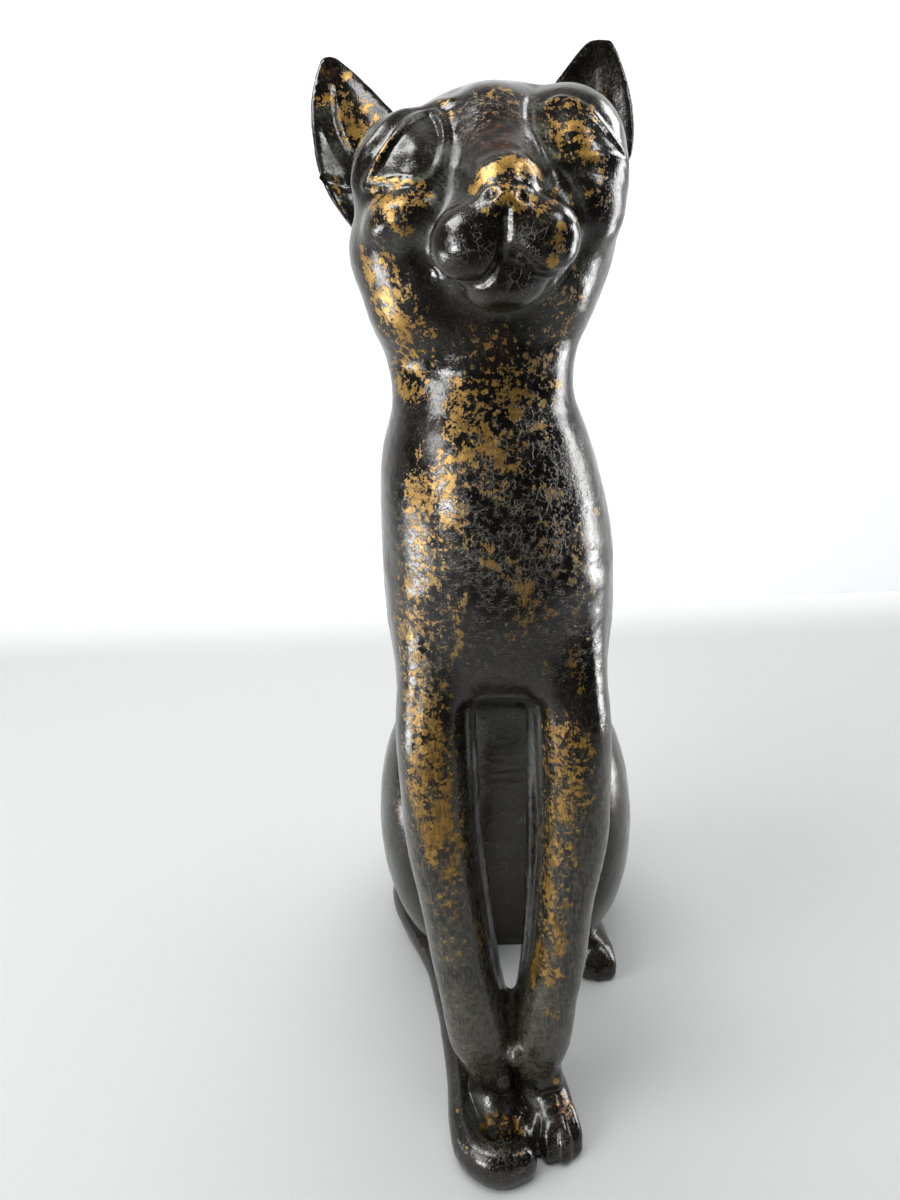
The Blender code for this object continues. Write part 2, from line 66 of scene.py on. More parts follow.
HEAD_AT = np.array((0.5, 158.0, 868.0))  # middle of the skull
HEAD_TURN = turned(pitch=22, yaw=5.6, roll=1.0)


def smooth_min(a, b, k):
    h = np.maximum(k - np.abs(a - b), 0.0) / k
    return np.minimum(a, b) - h**3 * k / 6.0


def smooth_max(a, b, k):
    return -smooth_min(-a, -b, k)


def profile(x, stations, column):
    """Smooth curve, without overshoot, through one column of the stations."""
    s = sorted(stations)
    xs = np.array([r[0] for r in s], float)
    ys = np.array([r[column] for r in s], float)
    h = np.diff(xs)
    d = np.diff(ys) / h
    m = np.zeros(len(xs))
    m[0], m[-1] = d[0], d[-1]
    for i in range(1, len(xs) - 1):
        if d[i - 1] * d[i] > 0:
            w1, w2 = 2 * h[i] + h[i - 1], h[i] + 2 * h[i - 1]
            m[i] = (w1 + w2) / (w1 / d[i - 1] + w2 / d[i])
    i = np.clip(np.searchsorted(xs, x) - 1, 0, len(h) - 1)
    t = np.clip((x - xs[i]) / h[i], 0.0, 1.0)
    return (
        (2 * t**3 - 3 * t**2 + 1) * ys[i]
        + (t**3 - 2 * t**2 + t) * h[i] * m[i]
        + (-2 * t**3 + 3 * t**2) * ys[i + 1]
        + (t**3 - t**2) * h[i] * m[i + 1]
    )


def spline(points, per_span):
    """Smooth curve through rows of numbers."""
    p = np.array(points, float)
    p = np.vstack([2 * p[0] - p[1], p, 2 * p[-1] - p[-2]])
    rows = []
    for i in range(1, len(p) - 2):
        for t in np.arange(per_span) / per_span:
            rows.append(
                0.5
                * (
                    2 * p[i]
                    + (p[i + 1] - p[i - 1]) * t
                    + (2 * p[i - 1] - 5 * p[i] + 4 * p[i + 1] - p[i + 2]) * t**2
                    + (3 * p[i] - p[i - 1] - 3 * p[i + 1] + p[i + 2]) * t**3
                )
            )
    rows.append(p[-2])
    return np.array(rows)


def skin(bm, rings):
    """Closes a stack of rings into one tube with flat ends."""
    n = len(rings[0])
    for low, high in zip(rings, rings[1:]):
        for i in range(n):
            j = (i + 1) % n
            bm.faces.new((low[i], low[j], high[j], high[i]))
    bm.faces.new(list(reversed(rings[0])))
    bm.faces.new(rings[-1])


class Ball:
    """Ellipsoid, turned by `turn`."""

    def __init__(self, centre, radii, turn=None, blend=10.0):
        self.c, self.r = np.array(centre, float), np.array(radii, float)
        self.turn = np.eye(3) if turn is None else turn
        self.blend = blend

    def field(self, p):
        q = (p - self.c) @ self.turn
        k0 = np.linalg.norm(q / self.r, axis=1)
        k1 = np.maximum(np.linalg.norm(q / self.r**2, axis=1), 1e-9)
        return k0 * (k0 - 1.0) / k1

    def build(self, bm):
        place = Matrix.Translation(self.c) @ Matrix(self.turn.tolist()).to_4x4() @ Matrix.Diagonal((*self.r, 1))
        bmesh.ops.create_icosphere(bm, subdivisions=4, radius=1.0, matrix=place)


class Column:
    """Upright body with rounded level sections: rows of (z, middle x, front y, back y, half width)."""

    def __init__(self, rows, blend=10.0, power=2.0):
        self.blend, self.power = blend, power
        self.low, self.top = min(r[0] for r in rows), max(r[0] for r in rows)
        self.z = np.linspace(self.low, self.top, 400)
        self.table = [profile(self.z, rows, i) for i in (1, 2, 3, 4)]

    def section(self, z):
        x, front, back, half = (np.interp(z, self.z, t) for t in self.table)
        return x, (front + back) / 2, (back - front) / 2, half

    def field(self, p):
        xc, yc, b, a = self.section(p[:, 2])
        x, y = p[:, 0] - xc, p[:, 1] - yc
        n = self.power
        k0 = ((np.abs(x) / a) ** n + (np.abs(y) / b) ** n) ** (1 / n)
        k1 = np.sqrt((x / a**2) ** 2 + (y / b**2) ** 2)
        d = k0 * (k0 - 1.0) / np.maximum(k1, 1e-6)
        d = np.where(k0 > 1e-6, np.maximum(d, -np.minimum(a, b)), -np.minimum(a, b))
        return smooth_max(d, np.maximum(self.low - p[:, 2], p[:, 2] - self.top), 12.0)

    def build(self, bm):
        rings, n = [], 40
        for z in np.linspace(self.low, self.top, 48):
            xc, yc, b, a = self.section(z)
            ring = []
            for t in np.arange(n) * 2 * math.pi / n:
                c, s, e = math.cos(t), math.sin(t), 2.0 / self.power
                ring.append(bm.verts.new((xc + a * math.copysign(abs(c) ** e, c), yc + b * math.copysign(abs(s) ** e, s), z)))
            rings.append(ring)
        skin(bm, rings)


class Tube:
    """Round bar along a smooth curve, rows of (x, y, z, radius). `tall` stretches it upwards."""

    def __init__(self, rows, blend=8.0, tall=1.0, per_span=4):
        self.rows = spline(rows, per_span)
        self.blend, self.tall = blend, tall
        self.rows[:, 2] /= tall

    def field(self, p):
        if self.tall != 1.0:
            p = p / (1.0, 1.0, self.tall)
        best = np.full(len(p), 1e9)
        for a, b in zip(self.rows, self.rows[1:]):
            ab = b[:3] - a[:3]
            t = np.clip(((p - a[:3]) @ ab) / (ab @ ab), 0, 1)
            best = np.minimum(best, np.linalg.norm(p - a[:3] - t[:, None] * ab, axis=1) - (a[3] + t * (b[3] - a[3])))
        return best

    def build(self, bm):
        rows, n, first = self.rows, 20, len(bm.verts)
        along = np.gradient(rows[:, :3], axis=0)
        along /= np.linalg.norm(along, axis=1)[:, None]
        up = np.array([0.0, 0.0, 1.0]) if abs(along[0][2]) < 0.9 else np.array([1.0, 0.0, 0.0])
        rings = []
        for row, t in zip(rows, along):
            side = np.cross(t, up)
            side /= np.linalg.norm(side)
            up = np.cross(side, t)
            rings.append(
                [bm.verts.new(Vector(row[:3] + row[3] * (math.cos(a) * side + math.sin(a) * up))) for a in np.arange(n) * 2 * math.pi / n]
            )
        skin(bm, rings)
        for row in (rows[0], rows[-1]):
            bmesh.ops.create_icosphere(bm, subdivisions=3, radius=row[3], matrix=Matrix.Translation(Vector(row[:3])))
        bm.verts.ensure_lookup_table()
        for v in bm.verts[first:]:
            v.co.z *= self.tall


class Ear:
    """Hollow ear, open to the front: rows of (z, inner x, outer x) on the +X side, put on `side` +1 or -1."""

    def __init__(self, rows, side, depth, hollow, thick, blend=8.0):
        self.side, self.depth, self.hollow, self.thick, self.blend = side, depth, hollow, thick, blend
        self.low, self.top = min(r[0] for r in rows), max(r[0] for r in rows)
        self.z = np.linspace(self.low, self.top, 200)
        self.inner, self.outer = profile(self.z, rows, 1), profile(self.z, rows, 2)

    def at(self, z):
        a, b = np.interp(z, self.z, self.inner), np.interp(z, self.z, self.outer)
        return (a + b) / 2, (b - a) / 2, np.clip((self.top - z) / (self.top - 60.0), 0.0, 1.0)

    def middle(self, x, z):
        c, half, down = self.at(z)
        s = np.clip((x - c) / np.maximum(half, 5.0), -1.2, 1.2)
        return self.depth[0] * down + self.depth[1] * (1 - down) + self.hollow * down**0.6 * (1 - s * s) - 9.0 * down * (s < 0) * s * s

    def field(self, p):
        x, y, z = p[:, 0] * self.side, p[:, 1], p[:, 2]
        c, half, down = self.at(z)
        thick = self.thick * (1.0 + 0.8 * down)
        slab = (np.abs(y - self.middle(x, z)) - thick) * 0.75
        edge = (np.abs(x - c) - half) * 0.85
        return smooth_max(smooth_max(slab, edge, 1.7 * thick), np.maximum(z - self.top, self.low - z), 6.0)

    def build(self, bm):
        rings = []
        for z in np.linspace(self.low, self.top - 1.5, 30):
            c, half, down = (float(v) for v in self.at(z))
            thick = self.thick * (1.0 + 0.8 * down) * 1.15
            xs = np.linspace(c - half, c + half, 13)
            mid = self.middle(xs, np.full(13, z))
            ring = [(x * self.side, m - thick, z) for x, m in zip(xs, mid)]
            ring += [(x * self.side, m + thick, z) for x, m in zip(xs[::-1], mid[::-1])]
            if self.side < 0:
                ring.reverse()
            rings.append([bm.verts.new(co) for co in ring])
        skin(bm, rings)


class OnHead:
    """A shape given in the head's own frame."""

    def __init__(self, shape):
        self.shape, self.blend = shape, shape.blend

    def field(self, p):
        return self.shape.field((p - HEAD_AT) @ HEAD_TURN)

    def build(self, bm):
        first = len(bm.verts)
        self.shape.build(bm)
        bm.verts.ensure_lookup_table()
        place = Matrix.Translation(HEAD_AT) @ Matrix(HEAD_TURN.tolist()).to_4x4()
        for v in bm.verts[first:]:
            v.co = place @ v.co


class Line:
    """A ridge (negative depth) or groove (positive depth) that follows a curve on the surface."""

    def __init__(self, curve, width, depth):
        self.curve, self.width, self.depth = curve, width, depth
        self.box = curve.min(0) - 3.2 * width, curve.max(0) + 3.2 * width

    def field(self, p):
        out = np.zeros(len(p))
        near = np.flatnonzero(((p > self.box[0]) & (p < self.box[1])).all(1))
        if len(near):
            q, best = p[near], np.full(len(near), 1e9)
            for a, b in zip(self.curve, self.curve[1:]):
                ab = b - a
                t = np.clip(((q - a) @ ab) / max(ab @ ab, 1e-9), 0, 1)
                best = np.minimum(best, ((q - a - t[:, None] * ab) ** 2).sum(1))
            out[near] = self.depth * np.exp(-best / self.width**2)
        return out


class Swell:
    """A soft swelling (negative depth) or dent (positive depth) at a point, in the head's or the statue's axes."""

    def __init__(self, at, size, depth, turn=None):
        self.at, self.size, self.depth = np.array(at, float), np.array(size, float), depth
        self.turn = np.eye(3) if turn is None else turn

    def field(self, p):
        out = np.zeros(len(p))
        near = np.flatnonzero((np.abs(p - self.at) < 3.0 * self.size.max()).all(1))
        if len(near):
            q = ((p[near] - self.at) @ self.turn) / self.size
            out[near] = self.depth * np.exp(-(q * q).sum(1))
        return out


# Torso and neck:   z, middle x, front y, back y, half width
TORSO = [
    (-20, -4, 300, 480, 118),
    (60, -4, 292, 486, 120),
    (150, -2, 276, 478, 115),
    (250, 0, 250, 448, 104),
    (350, 0, 214, 412, 95),
    (430, -1, 178, 382, 91),
    (474, -1, 124, 363, 98),
    (500, -1, 88, 355, 102),
    (550, -2, 66, 334, 106),
    (610, -2.5, 57, 304, 103.5),
    (670, -6.5, 61, 272, 95.5),
    (714, -9.5, 71, 248, 85.5),
    (732, -10, 76, 240, 79),
    (746, -11, 84, 234, 74),
    (762, -12, 93, 229, 72),
    (782, -13, 105, 226, 73.5),
    (830, -6, 112, 226, 76),
]


def foreleg(side):
    """The leg, the fillet behind its inner edge, and the paw with its toes."""
    slim = 0.0 if side < 0 else 2.5
    s = side
    leg = [
        (14, s * 25 - 1, 48, 96, 24),
        (36, s * 25 - 1, 43, 96, 23.5),
        (54, s * 25 - 2, 45, 97, 24),
        (68, s * 27 - 3 - slim, 45.5, 99, 25.5 - slim),
        (86, s * 30.5 - 3 - slim, 43.5, 101, 28.5 - slim),
        (108, s * 34 - 4 - slim, 40.5, 104, 31.5 - slim),
        (130, s * 37 - 4 - slim, 39.5, 108, 31.5 - slim),
        (160, s * 41 - 4 - slim, 41, 113, 30.5 - slim),
        (205, s * 47.5 - 4, 45, 120, 30 - slim),
        (260, s * 53 - 4, 48, 130, 30.5 - slim),
        (370, s * 63.5 - 3, 55, 148, 33.5),
        (450, s * 64 - 3, 61, 170, 34.5),
        (520, s * 58 - 3, 76, 190, 34),
        (590, s * 50 - 3, 98, 200, 30),
    ]
    behind = [
        (40, s * 14 - 3.5, 72, 100, 17),
        (104, s * 14 - 3.5, 73, 112, 16),
        (124, s * 16.5 - 3.5, 75, 115, 14.5),
        (144, s * 19.5 - 3.5, 78, 120, 13.5),
        (170, s * 22.5 - 3.5, 82, 125, 12.5),
        (205, s * 26 - 3, 90, 132, 12),
        (370, s * 36 - 4, 98, 158, 14),
        (460, s * 40 - 4, 110, 190, 16),
        (540, s * 40 - 4, 120, 200, 16),
    ]
    x, y = (-21, 24) if s < 0 else (37, 1)
    toes = [(-38, 37, 8.5), (-27, 29, 9.5), (-14, 28, 9.5), (-3, 35, 8.5)] if s < 0 else [(16, 15, 9), (29.5, 7.5, 9.5), (43.5, 6.5, 9.5), (54, 14, 9.2)]
    shapes = [
        Column(leg, blend=(8, 38, 220, 440), power=2.3),
        Column(behind, blend=9, power=2.2),
        Tube([(s * 25, 78, 26, 25), ((s * 25 + x) / 2, 56, 28, 24), (x, y + 31, 17, 22)], blend=8),
    ]
    for tx, ty, r in toes:
        shapes.append(Tube([(tx * 0.75 + x * 0.25, ty + 25, 31, r * 0.85), (tx, ty + 9, 22, r), (tx, ty + 1, 9, r)], blend=2.2))
    return shapes


def hind_foot(side):
    x = -68 if side < 0 else 107
    shapes = [Tube([(side * 90, 400, 18, 28), ((side * 84 + x) / 2, 330, 20, 21), (x, 262, 18, 22)], blend=9)]
    for k in (-1, 0, 1):
        shapes.append(Tube([(x + k * 10, 262, 24, 10), (x + k * 12, 246, 18, 11), (x + k * 12, 240 + 3 * abs(k), 8, 11)], blend=5))
    return shapes


def head():
    """Skull, cheeks, eye domes, muzzle, chin, bridge and ears, in the head's own frame."""
    shapes = [
        Ball((1, 10, 11), (98, 98, 98), blend=16),
        Ball((12, -6, 54), (80, 60, 50), blend=22),
        Ball((65, -10, 28), (30, 50, 42), blend=14),
        Ball((-50, -2, -6), (60, 66, 56), blend=16),
        Ball((41, -2, -5), (46, 64, 52), blend=16),
        Ball((-60, -28, 36), (43, 46, 48), blend=12),
        Ball((58, -28, 46), (44, 46, 50), blend=12),
        Ball((-62, -50, -2), (34, 34, 22), blend=18),
        Ball((57, -46, 0), (35, 36, 31), blend=22),
        Ball((66, -42, 24), (31, 34, 28), blend=18),
        Ball((-54, 12, -42), (46, 60, 46), blend=20),
        Ball((39, 12, -42), (38, 58, 42), blend=20),
        Ball((0, -68, -26), (50, 44, 36), blend=13),
        Ball((-25, -92, -32), (28.5, 27, 27), blend=10),
        Ball((21, -92, -32), (28.5, 27, 27), blend=10),
        Ball((-3, -76, -56), (29, 26, 18), blend=11),
        Tube([(0, -48, 62, 27), (0, -67, 34, 25), (0, -89, 7, 24), (-3, -103, -12, 18)], blend=20),
    ]
    upper = [(75, 58, 129), (95, 56, 132), (115, 60, 132.5), (130, 71, 131.5), (140, 78.5, 130), (150, 86.5, 127.5), (160, 95, 124), (167, 102, 121), (172.5, 108, 118.5)]
    right = [(75, 52, 129), (95, 49, 132), (115, 53, 132.5), (130, 64, 131.5), (140, 72, 130), (150, 81, 127.5), (160, 90, 124.5), (166, 96, 122), (170.5, 101.5, 119.5)]
    shapes.append(Ear([(10, 70, 92), (40, 66, 113), (60, 62, 124)] + upper, -1, (44, 52), 20, 4.6, blend=10))
    shapes.append(Ear([(25, 70, 80), (45, 66, 98), (60, 57, 117)] + right, 1, (44, 52), 20, 4.6, blend=10))
    return [OnHead(s) for s in shapes]


def body_shapes():
    shapes = [Column(TORSO, blend=14, power=2.15)]
    shapes.append(Column([(-20, -4, 300, 484, 118), (24, -4, 297, 486, 120), (60, -3, 300, 480, 113), (90, 0, 306, 470, 99)], blend=14, power=3.4))
    for s in (-1, 1):
        shapes.append(Ball((s * 98, 368, 166), (61, 124, 148), turned(pitch=16), blend=30))
        shapes.append(Ball((s * 86, 322, 106), (45 if s < 0 else 41, 88, 90), turned(pitch=4), blend=20))
    for s in (-1, 1):
        shapes += foreleg(s)
        shapes += hind_foot(s)
    # knuckles above the forepaws, and the lump on the web between the forelegs
    shapes += [Ball((x, y, z), (r, r, r), blend=12) for x, y, z, r in ((-16, 53, 57, 8.5), (22, 53, 55, 8), (37, 55, 59, 8))]
    shapes.append(Ball((-1, 53, 97), (10, 11, 13), blend=9))
    shapes.append(Column([(40, -3.5, 64, 108, 15), (90, -3.5, 64, 108, 14.5), (116, -3.5, 70, 110, 14.5), (133, -3.5, 78, 106, 12)], blend=10))
    shapes.append(Ball((6, 30, 11), (9, 19, 17), blend=7))
    # tail, laid round the right side and curled before the right forepaw
    shapes.append(
        Tube(
            [
                (12, 476, 20, 24), (-60, 480, 20, 20), (-108, 460, 19, 17), (-137, 416, 18, 15.5), (-140, 366, 18, 15), (-118, 306, 17, 14), (-92, 246, 17, 13.5),
                (-73, 160, 17, 13.5), (-62, 80, 17, 14), (-59, 38, 17, 15), (-49, 5, 16.5, 16.5), (-24, -10.5, 16.5, 17.5), (0, -6.5, 16.5, 15.5),
            ],
            blend=6,
            tall=1.35,
        )
    )
    shapes += head()
    shapes.append(Tube([(-10, 164, 740, 68), (-5, 166, 806, 74)], blend=20))
    return shapes


# Carved lines of the face, in the head's own frame
EYE_RIMS = (
    [(-93, -56, 26), (-86, -64, 34), (-79, -69, 43), (-66, -69, 56), (-54, -62, 67), (-43, -56, 72), (-36, -62, 65), (-34, -71, 49),
     (-36, -75, 37), (-40, -76, 27), (-48, -74, 20), (-59, -74, 18), (-72, -71, 21), (-84, -64, 22), (-93, -56, 26)],
    [(89, -56, 26), (84, -64, 37), (78, -69, 46), (68, -71, 58), (57, -70, 67), (47, -67, 71), (39, -66, 66), (35, -72, 55),
     (34, -78, 42), (36, -80, 31), (43, -79, 24), (54, -75, 22), (65, -71, 24), (77, -66, 25), (89, -56, 26)],
)
BROWS = (
    [(-101, -42, 34), (-94, -54, 48), (-83, -61, 58), (-67, -58, 72), (-52, -50, 80), (-38, -50, 82), (-27, -57, 77)],
    [(98, -42, 31), (88, -62, 46), (75, -67, 63), (62, -66, 75), (51, -58, 83), (40, -52, 85), (30, -55, 80)],
)
VALLEYS = (
    [(-22, -50, 90), (-23, -60, 78), (-27, -71, 59), (-27, -80, 38), (-31, -82, 25), (-37, -80, 11), (-48, -82, -5), (-57, -78, -14),
     (-61, -69, -23), (-58, -64, -34), (-50, -70, -48), (-40, -78, -58)],
    [(34, -48, 86), (30, -62, 72), (25, -75, 58), (27, -81, 42), (33, -83, 26), (40, -82, 15), (48, -83, 2), (56, -81, -12),
     (60, -69, -26), (54, -63, -42), (45, -64, -54)],
)
MOUTH = [(-52, -80, -42), (-47, -86, -49), (-41, -89, -56), (-30, -95, -61), (-21, -99, -60), (-13, -106, -55), (-6, -110, -46), (4, -109, -48),
         (11, -107, -54), (20, -101, -59), (31, -97, -59), (41, -90, -54), (48, -82, -46)]


class Cat:
    def __init__(self):
        self.shapes = body_shapes()
        self.carving = []
        self.boxes = []
        for s in self.shapes:
            bm = bmesh.new()
            s.build(bm)
            co = np.array([v.co for v in bm.verts])
            bm.free()
            far = (s.blend[1] if isinstance(s.blend, tuple) else s.blend) + 14
            self.boxes.append((co.min(0) - far, co.max(0) + far))
        self.carving = self.face()

    def field(self, p):
        """About the distance from the surface, negative inside."""
        d = np.full(len(p), 60.0)
        for s, (low, high) in zip(self.shapes, self.boxes):
            near = np.flatnonzero(((p > low) & (p < high)).all(1))
            if len(near):
                blend = s.blend
                if isinstance(blend, tuple):
                    blend = np.interp(p[near, 2], blend[2:], blend[:2])
                d[near] = smooth_min(d[near], s.field(p[near]), blend)
        for line in self.carving:
            d += line.field(p)
        return d

    def on_head(self, points):
        """Points of the head's frame, moved onto its surface."""
        p = np.array(points, float) @ HEAD_TURN.T + HEAD_AT
        for _ in range(14):
            value, g = slope(self.field, p)
            p = p - np.clip(value / np.maximum((g * g).sum(1), 0.05), -6, 6)[:, None] * g
        return p

    def face(self):
        found = []

        def line(points, width, depth):
            found.append(Line(self.on_head(spline(points, 5)), width, depth))

        def swell(point, size, depth):
            found.append(Swell(self.on_head([point])[0], size, depth, HEAD_TURN))

        for side, rim, brow, valley in zip((-1, 1), EYE_RIMS, BROWS, VALLEYS):
            socket, ball, ridge = (7.5, -11.5, -4.2) if side < 0 else (2.0, -6.0, -1.5)
            swell((58 * side, -74, 44), (25, 30, 20), socket)
            swell((54 * side if side < 0 else 58, -74, 40), (15, 30, 19), ball)
            line(rim, 2.8, ridge)
            if side < 0:
                line(brow, 6.0, -2.1)
            line(valley[:6], 8.0, 1.2)
            line(valley[5:], 7.5, 2.4)
        line(MOUTH, 2.8, 5.4)
        line([(-3.5, -121, -20), (-4.5, -120, -30), (-5, -118, -40), (-6, -113, -48)], 3.4, 4.6)
        line([(-20, -106, 7), (-10, -112, 11), (1, -113, 13), (14, -109, 12), (28, -90, 8)], 7.0, -1.8)
        swell((-4, -122, -14), (12, 11, 8), -2.6)
        swell((-12.5, -120, -10.5), (3.6, 6, 2.8), 4.0)
        swell((7.5, -120, -13), (3.6, 6, 2.8), 4.0)
        # chipped crack on the crown, and the folds of the ears
        line([(35, -45, 90), (33, -51, 83), (26, -68, 67), (24, -77, 54)], 2.2, 2.0)
        line([(-112, 36, 146), (-111, 38, 119), (-106, 42, 99), (-97, 44, 84)], 4.5, -4.0)
        line([(-124, 36, 74), (-113, 40, 70), (-101, 44, 69)], 3.0, 2.6)
        line([(109, 40, 158), (108, 44, 132), (107, 46, 104), (104, 46, 84)], 3.4, -2.6)
        return found


CORNERS = np.array([(1, 1, 1), (1, -1, -1), (-1, 1, -1), (-1, -1, 1)], float)


def slope(f, p, e=0.4):
    """Value and gradient of f, from the corners of a small tetrahedron."""
    values = [f(p + e * c) for c in CORNERS]
    return sum(values) / 4, sum(v[:, None] * c for v, c in zip(values, CORNERS)) / (4 * e)


def settle(p, edges, f, rounds=6, relax=0.5, limit=3.0):
    """Moves points onto the surface f = 0, spreading them evenly along it."""
    n = len(p)
    count = np.maximum(np.bincount(edges.ravel(), minlength=n), 1).astype(float)
    for i in range(rounds):
        spread = i < rounds - 2
        value, g = slope(f, p)
        size = np.maximum(np.linalg.norm(g, axis=1), 0.2)
        normal = g / size[:, None]
        if spread:
            near = np.stack([np.bincount(edges[:, 0], p[edges[:, 1], k], n) + np.bincount(edges[:, 1], p[edges[:, 0], k], n) for k in range(3)], 1)
            shift = near / count[:, None] - p
            p = p + relax * (shift - (shift * normal).sum(1)[:, None] * normal)
        p = p - np.clip(value / size, -limit, limit)[:, None] * normal
    return p


def one_surface(name, mesh, cell):
    """The overlapping closed shapes of the mesh as one closed surface."""
    obj = bpy.data.objects.new(name, mesh)
    bpy.context.scene.collection.objects.link(obj)
    modifier = obj.modifiers.new("One surface", "REMESH")
    modifier.mode = "VOXEL"
    modifier.voxel_size = cell
    modifier.use_smooth_shade = True
    graph = bpy.context.evaluated_depsgraph_get()
    made = bpy.data.meshes.new_from_object(obj.evaluated_get(graph))
    bpy.data.objects.remove(obj)
    bm = bmesh.new()
    bm.from_mesh(made)
    seen, groups = set(), []
    for v in bm.verts:
        if v in seen:
            continue
        seen.add(v)
        stack, group = [v], []
        while stack:
            w = stack.pop()
            group.append(w)
            for e in w.link_edges:
                o = e.other_vert(w)
                if o not in seen:
                    seen.add(o)
                    stack.append(o)
        groups.append(group)
    groups.sort(key=len)
    for group in groups[:-1]:
        bmesh.ops.delete(bm, geom=group, context="VERTS")
    bm.to_mesh(made)
    bm.free()
    return made


def points_of(mesh):
    flat = np.empty(len(mesh.vertices) * 3, np.float32)
    mesh.vertices.foreach_get("co", flat)
    return flat.reshape(-1, 3).astype(float)


def edges_of(mesh):
    flat = np.empty(len(mesh.edges) * 2, np.int32)
    mesh.edges.foreach_get("vertices", flat)
    return flat.reshape(-1, 2)


def put_points(mesh, p):
    mesh.vertices.foreach_set("co", p.astype(np.float32).ravel())
    mesh.update()


def carved(cat, cell, rounds):
    """Closed mesh of the whole statue, in thousandths of the height, reaching below the floor."""
    bm = bmesh.new()
    for s in cat.shapes:
        s.build(bm)
    rough = bpy.data.meshes.new("rough")
    bm.to_mesh(rough)
    bm.free()
    mesh = one_surface("rough", rough, cell)
    put_points(mesh, settle(points_of(mesh), edges_of(mesh), cat.field, rounds=rounds))
    return mesh


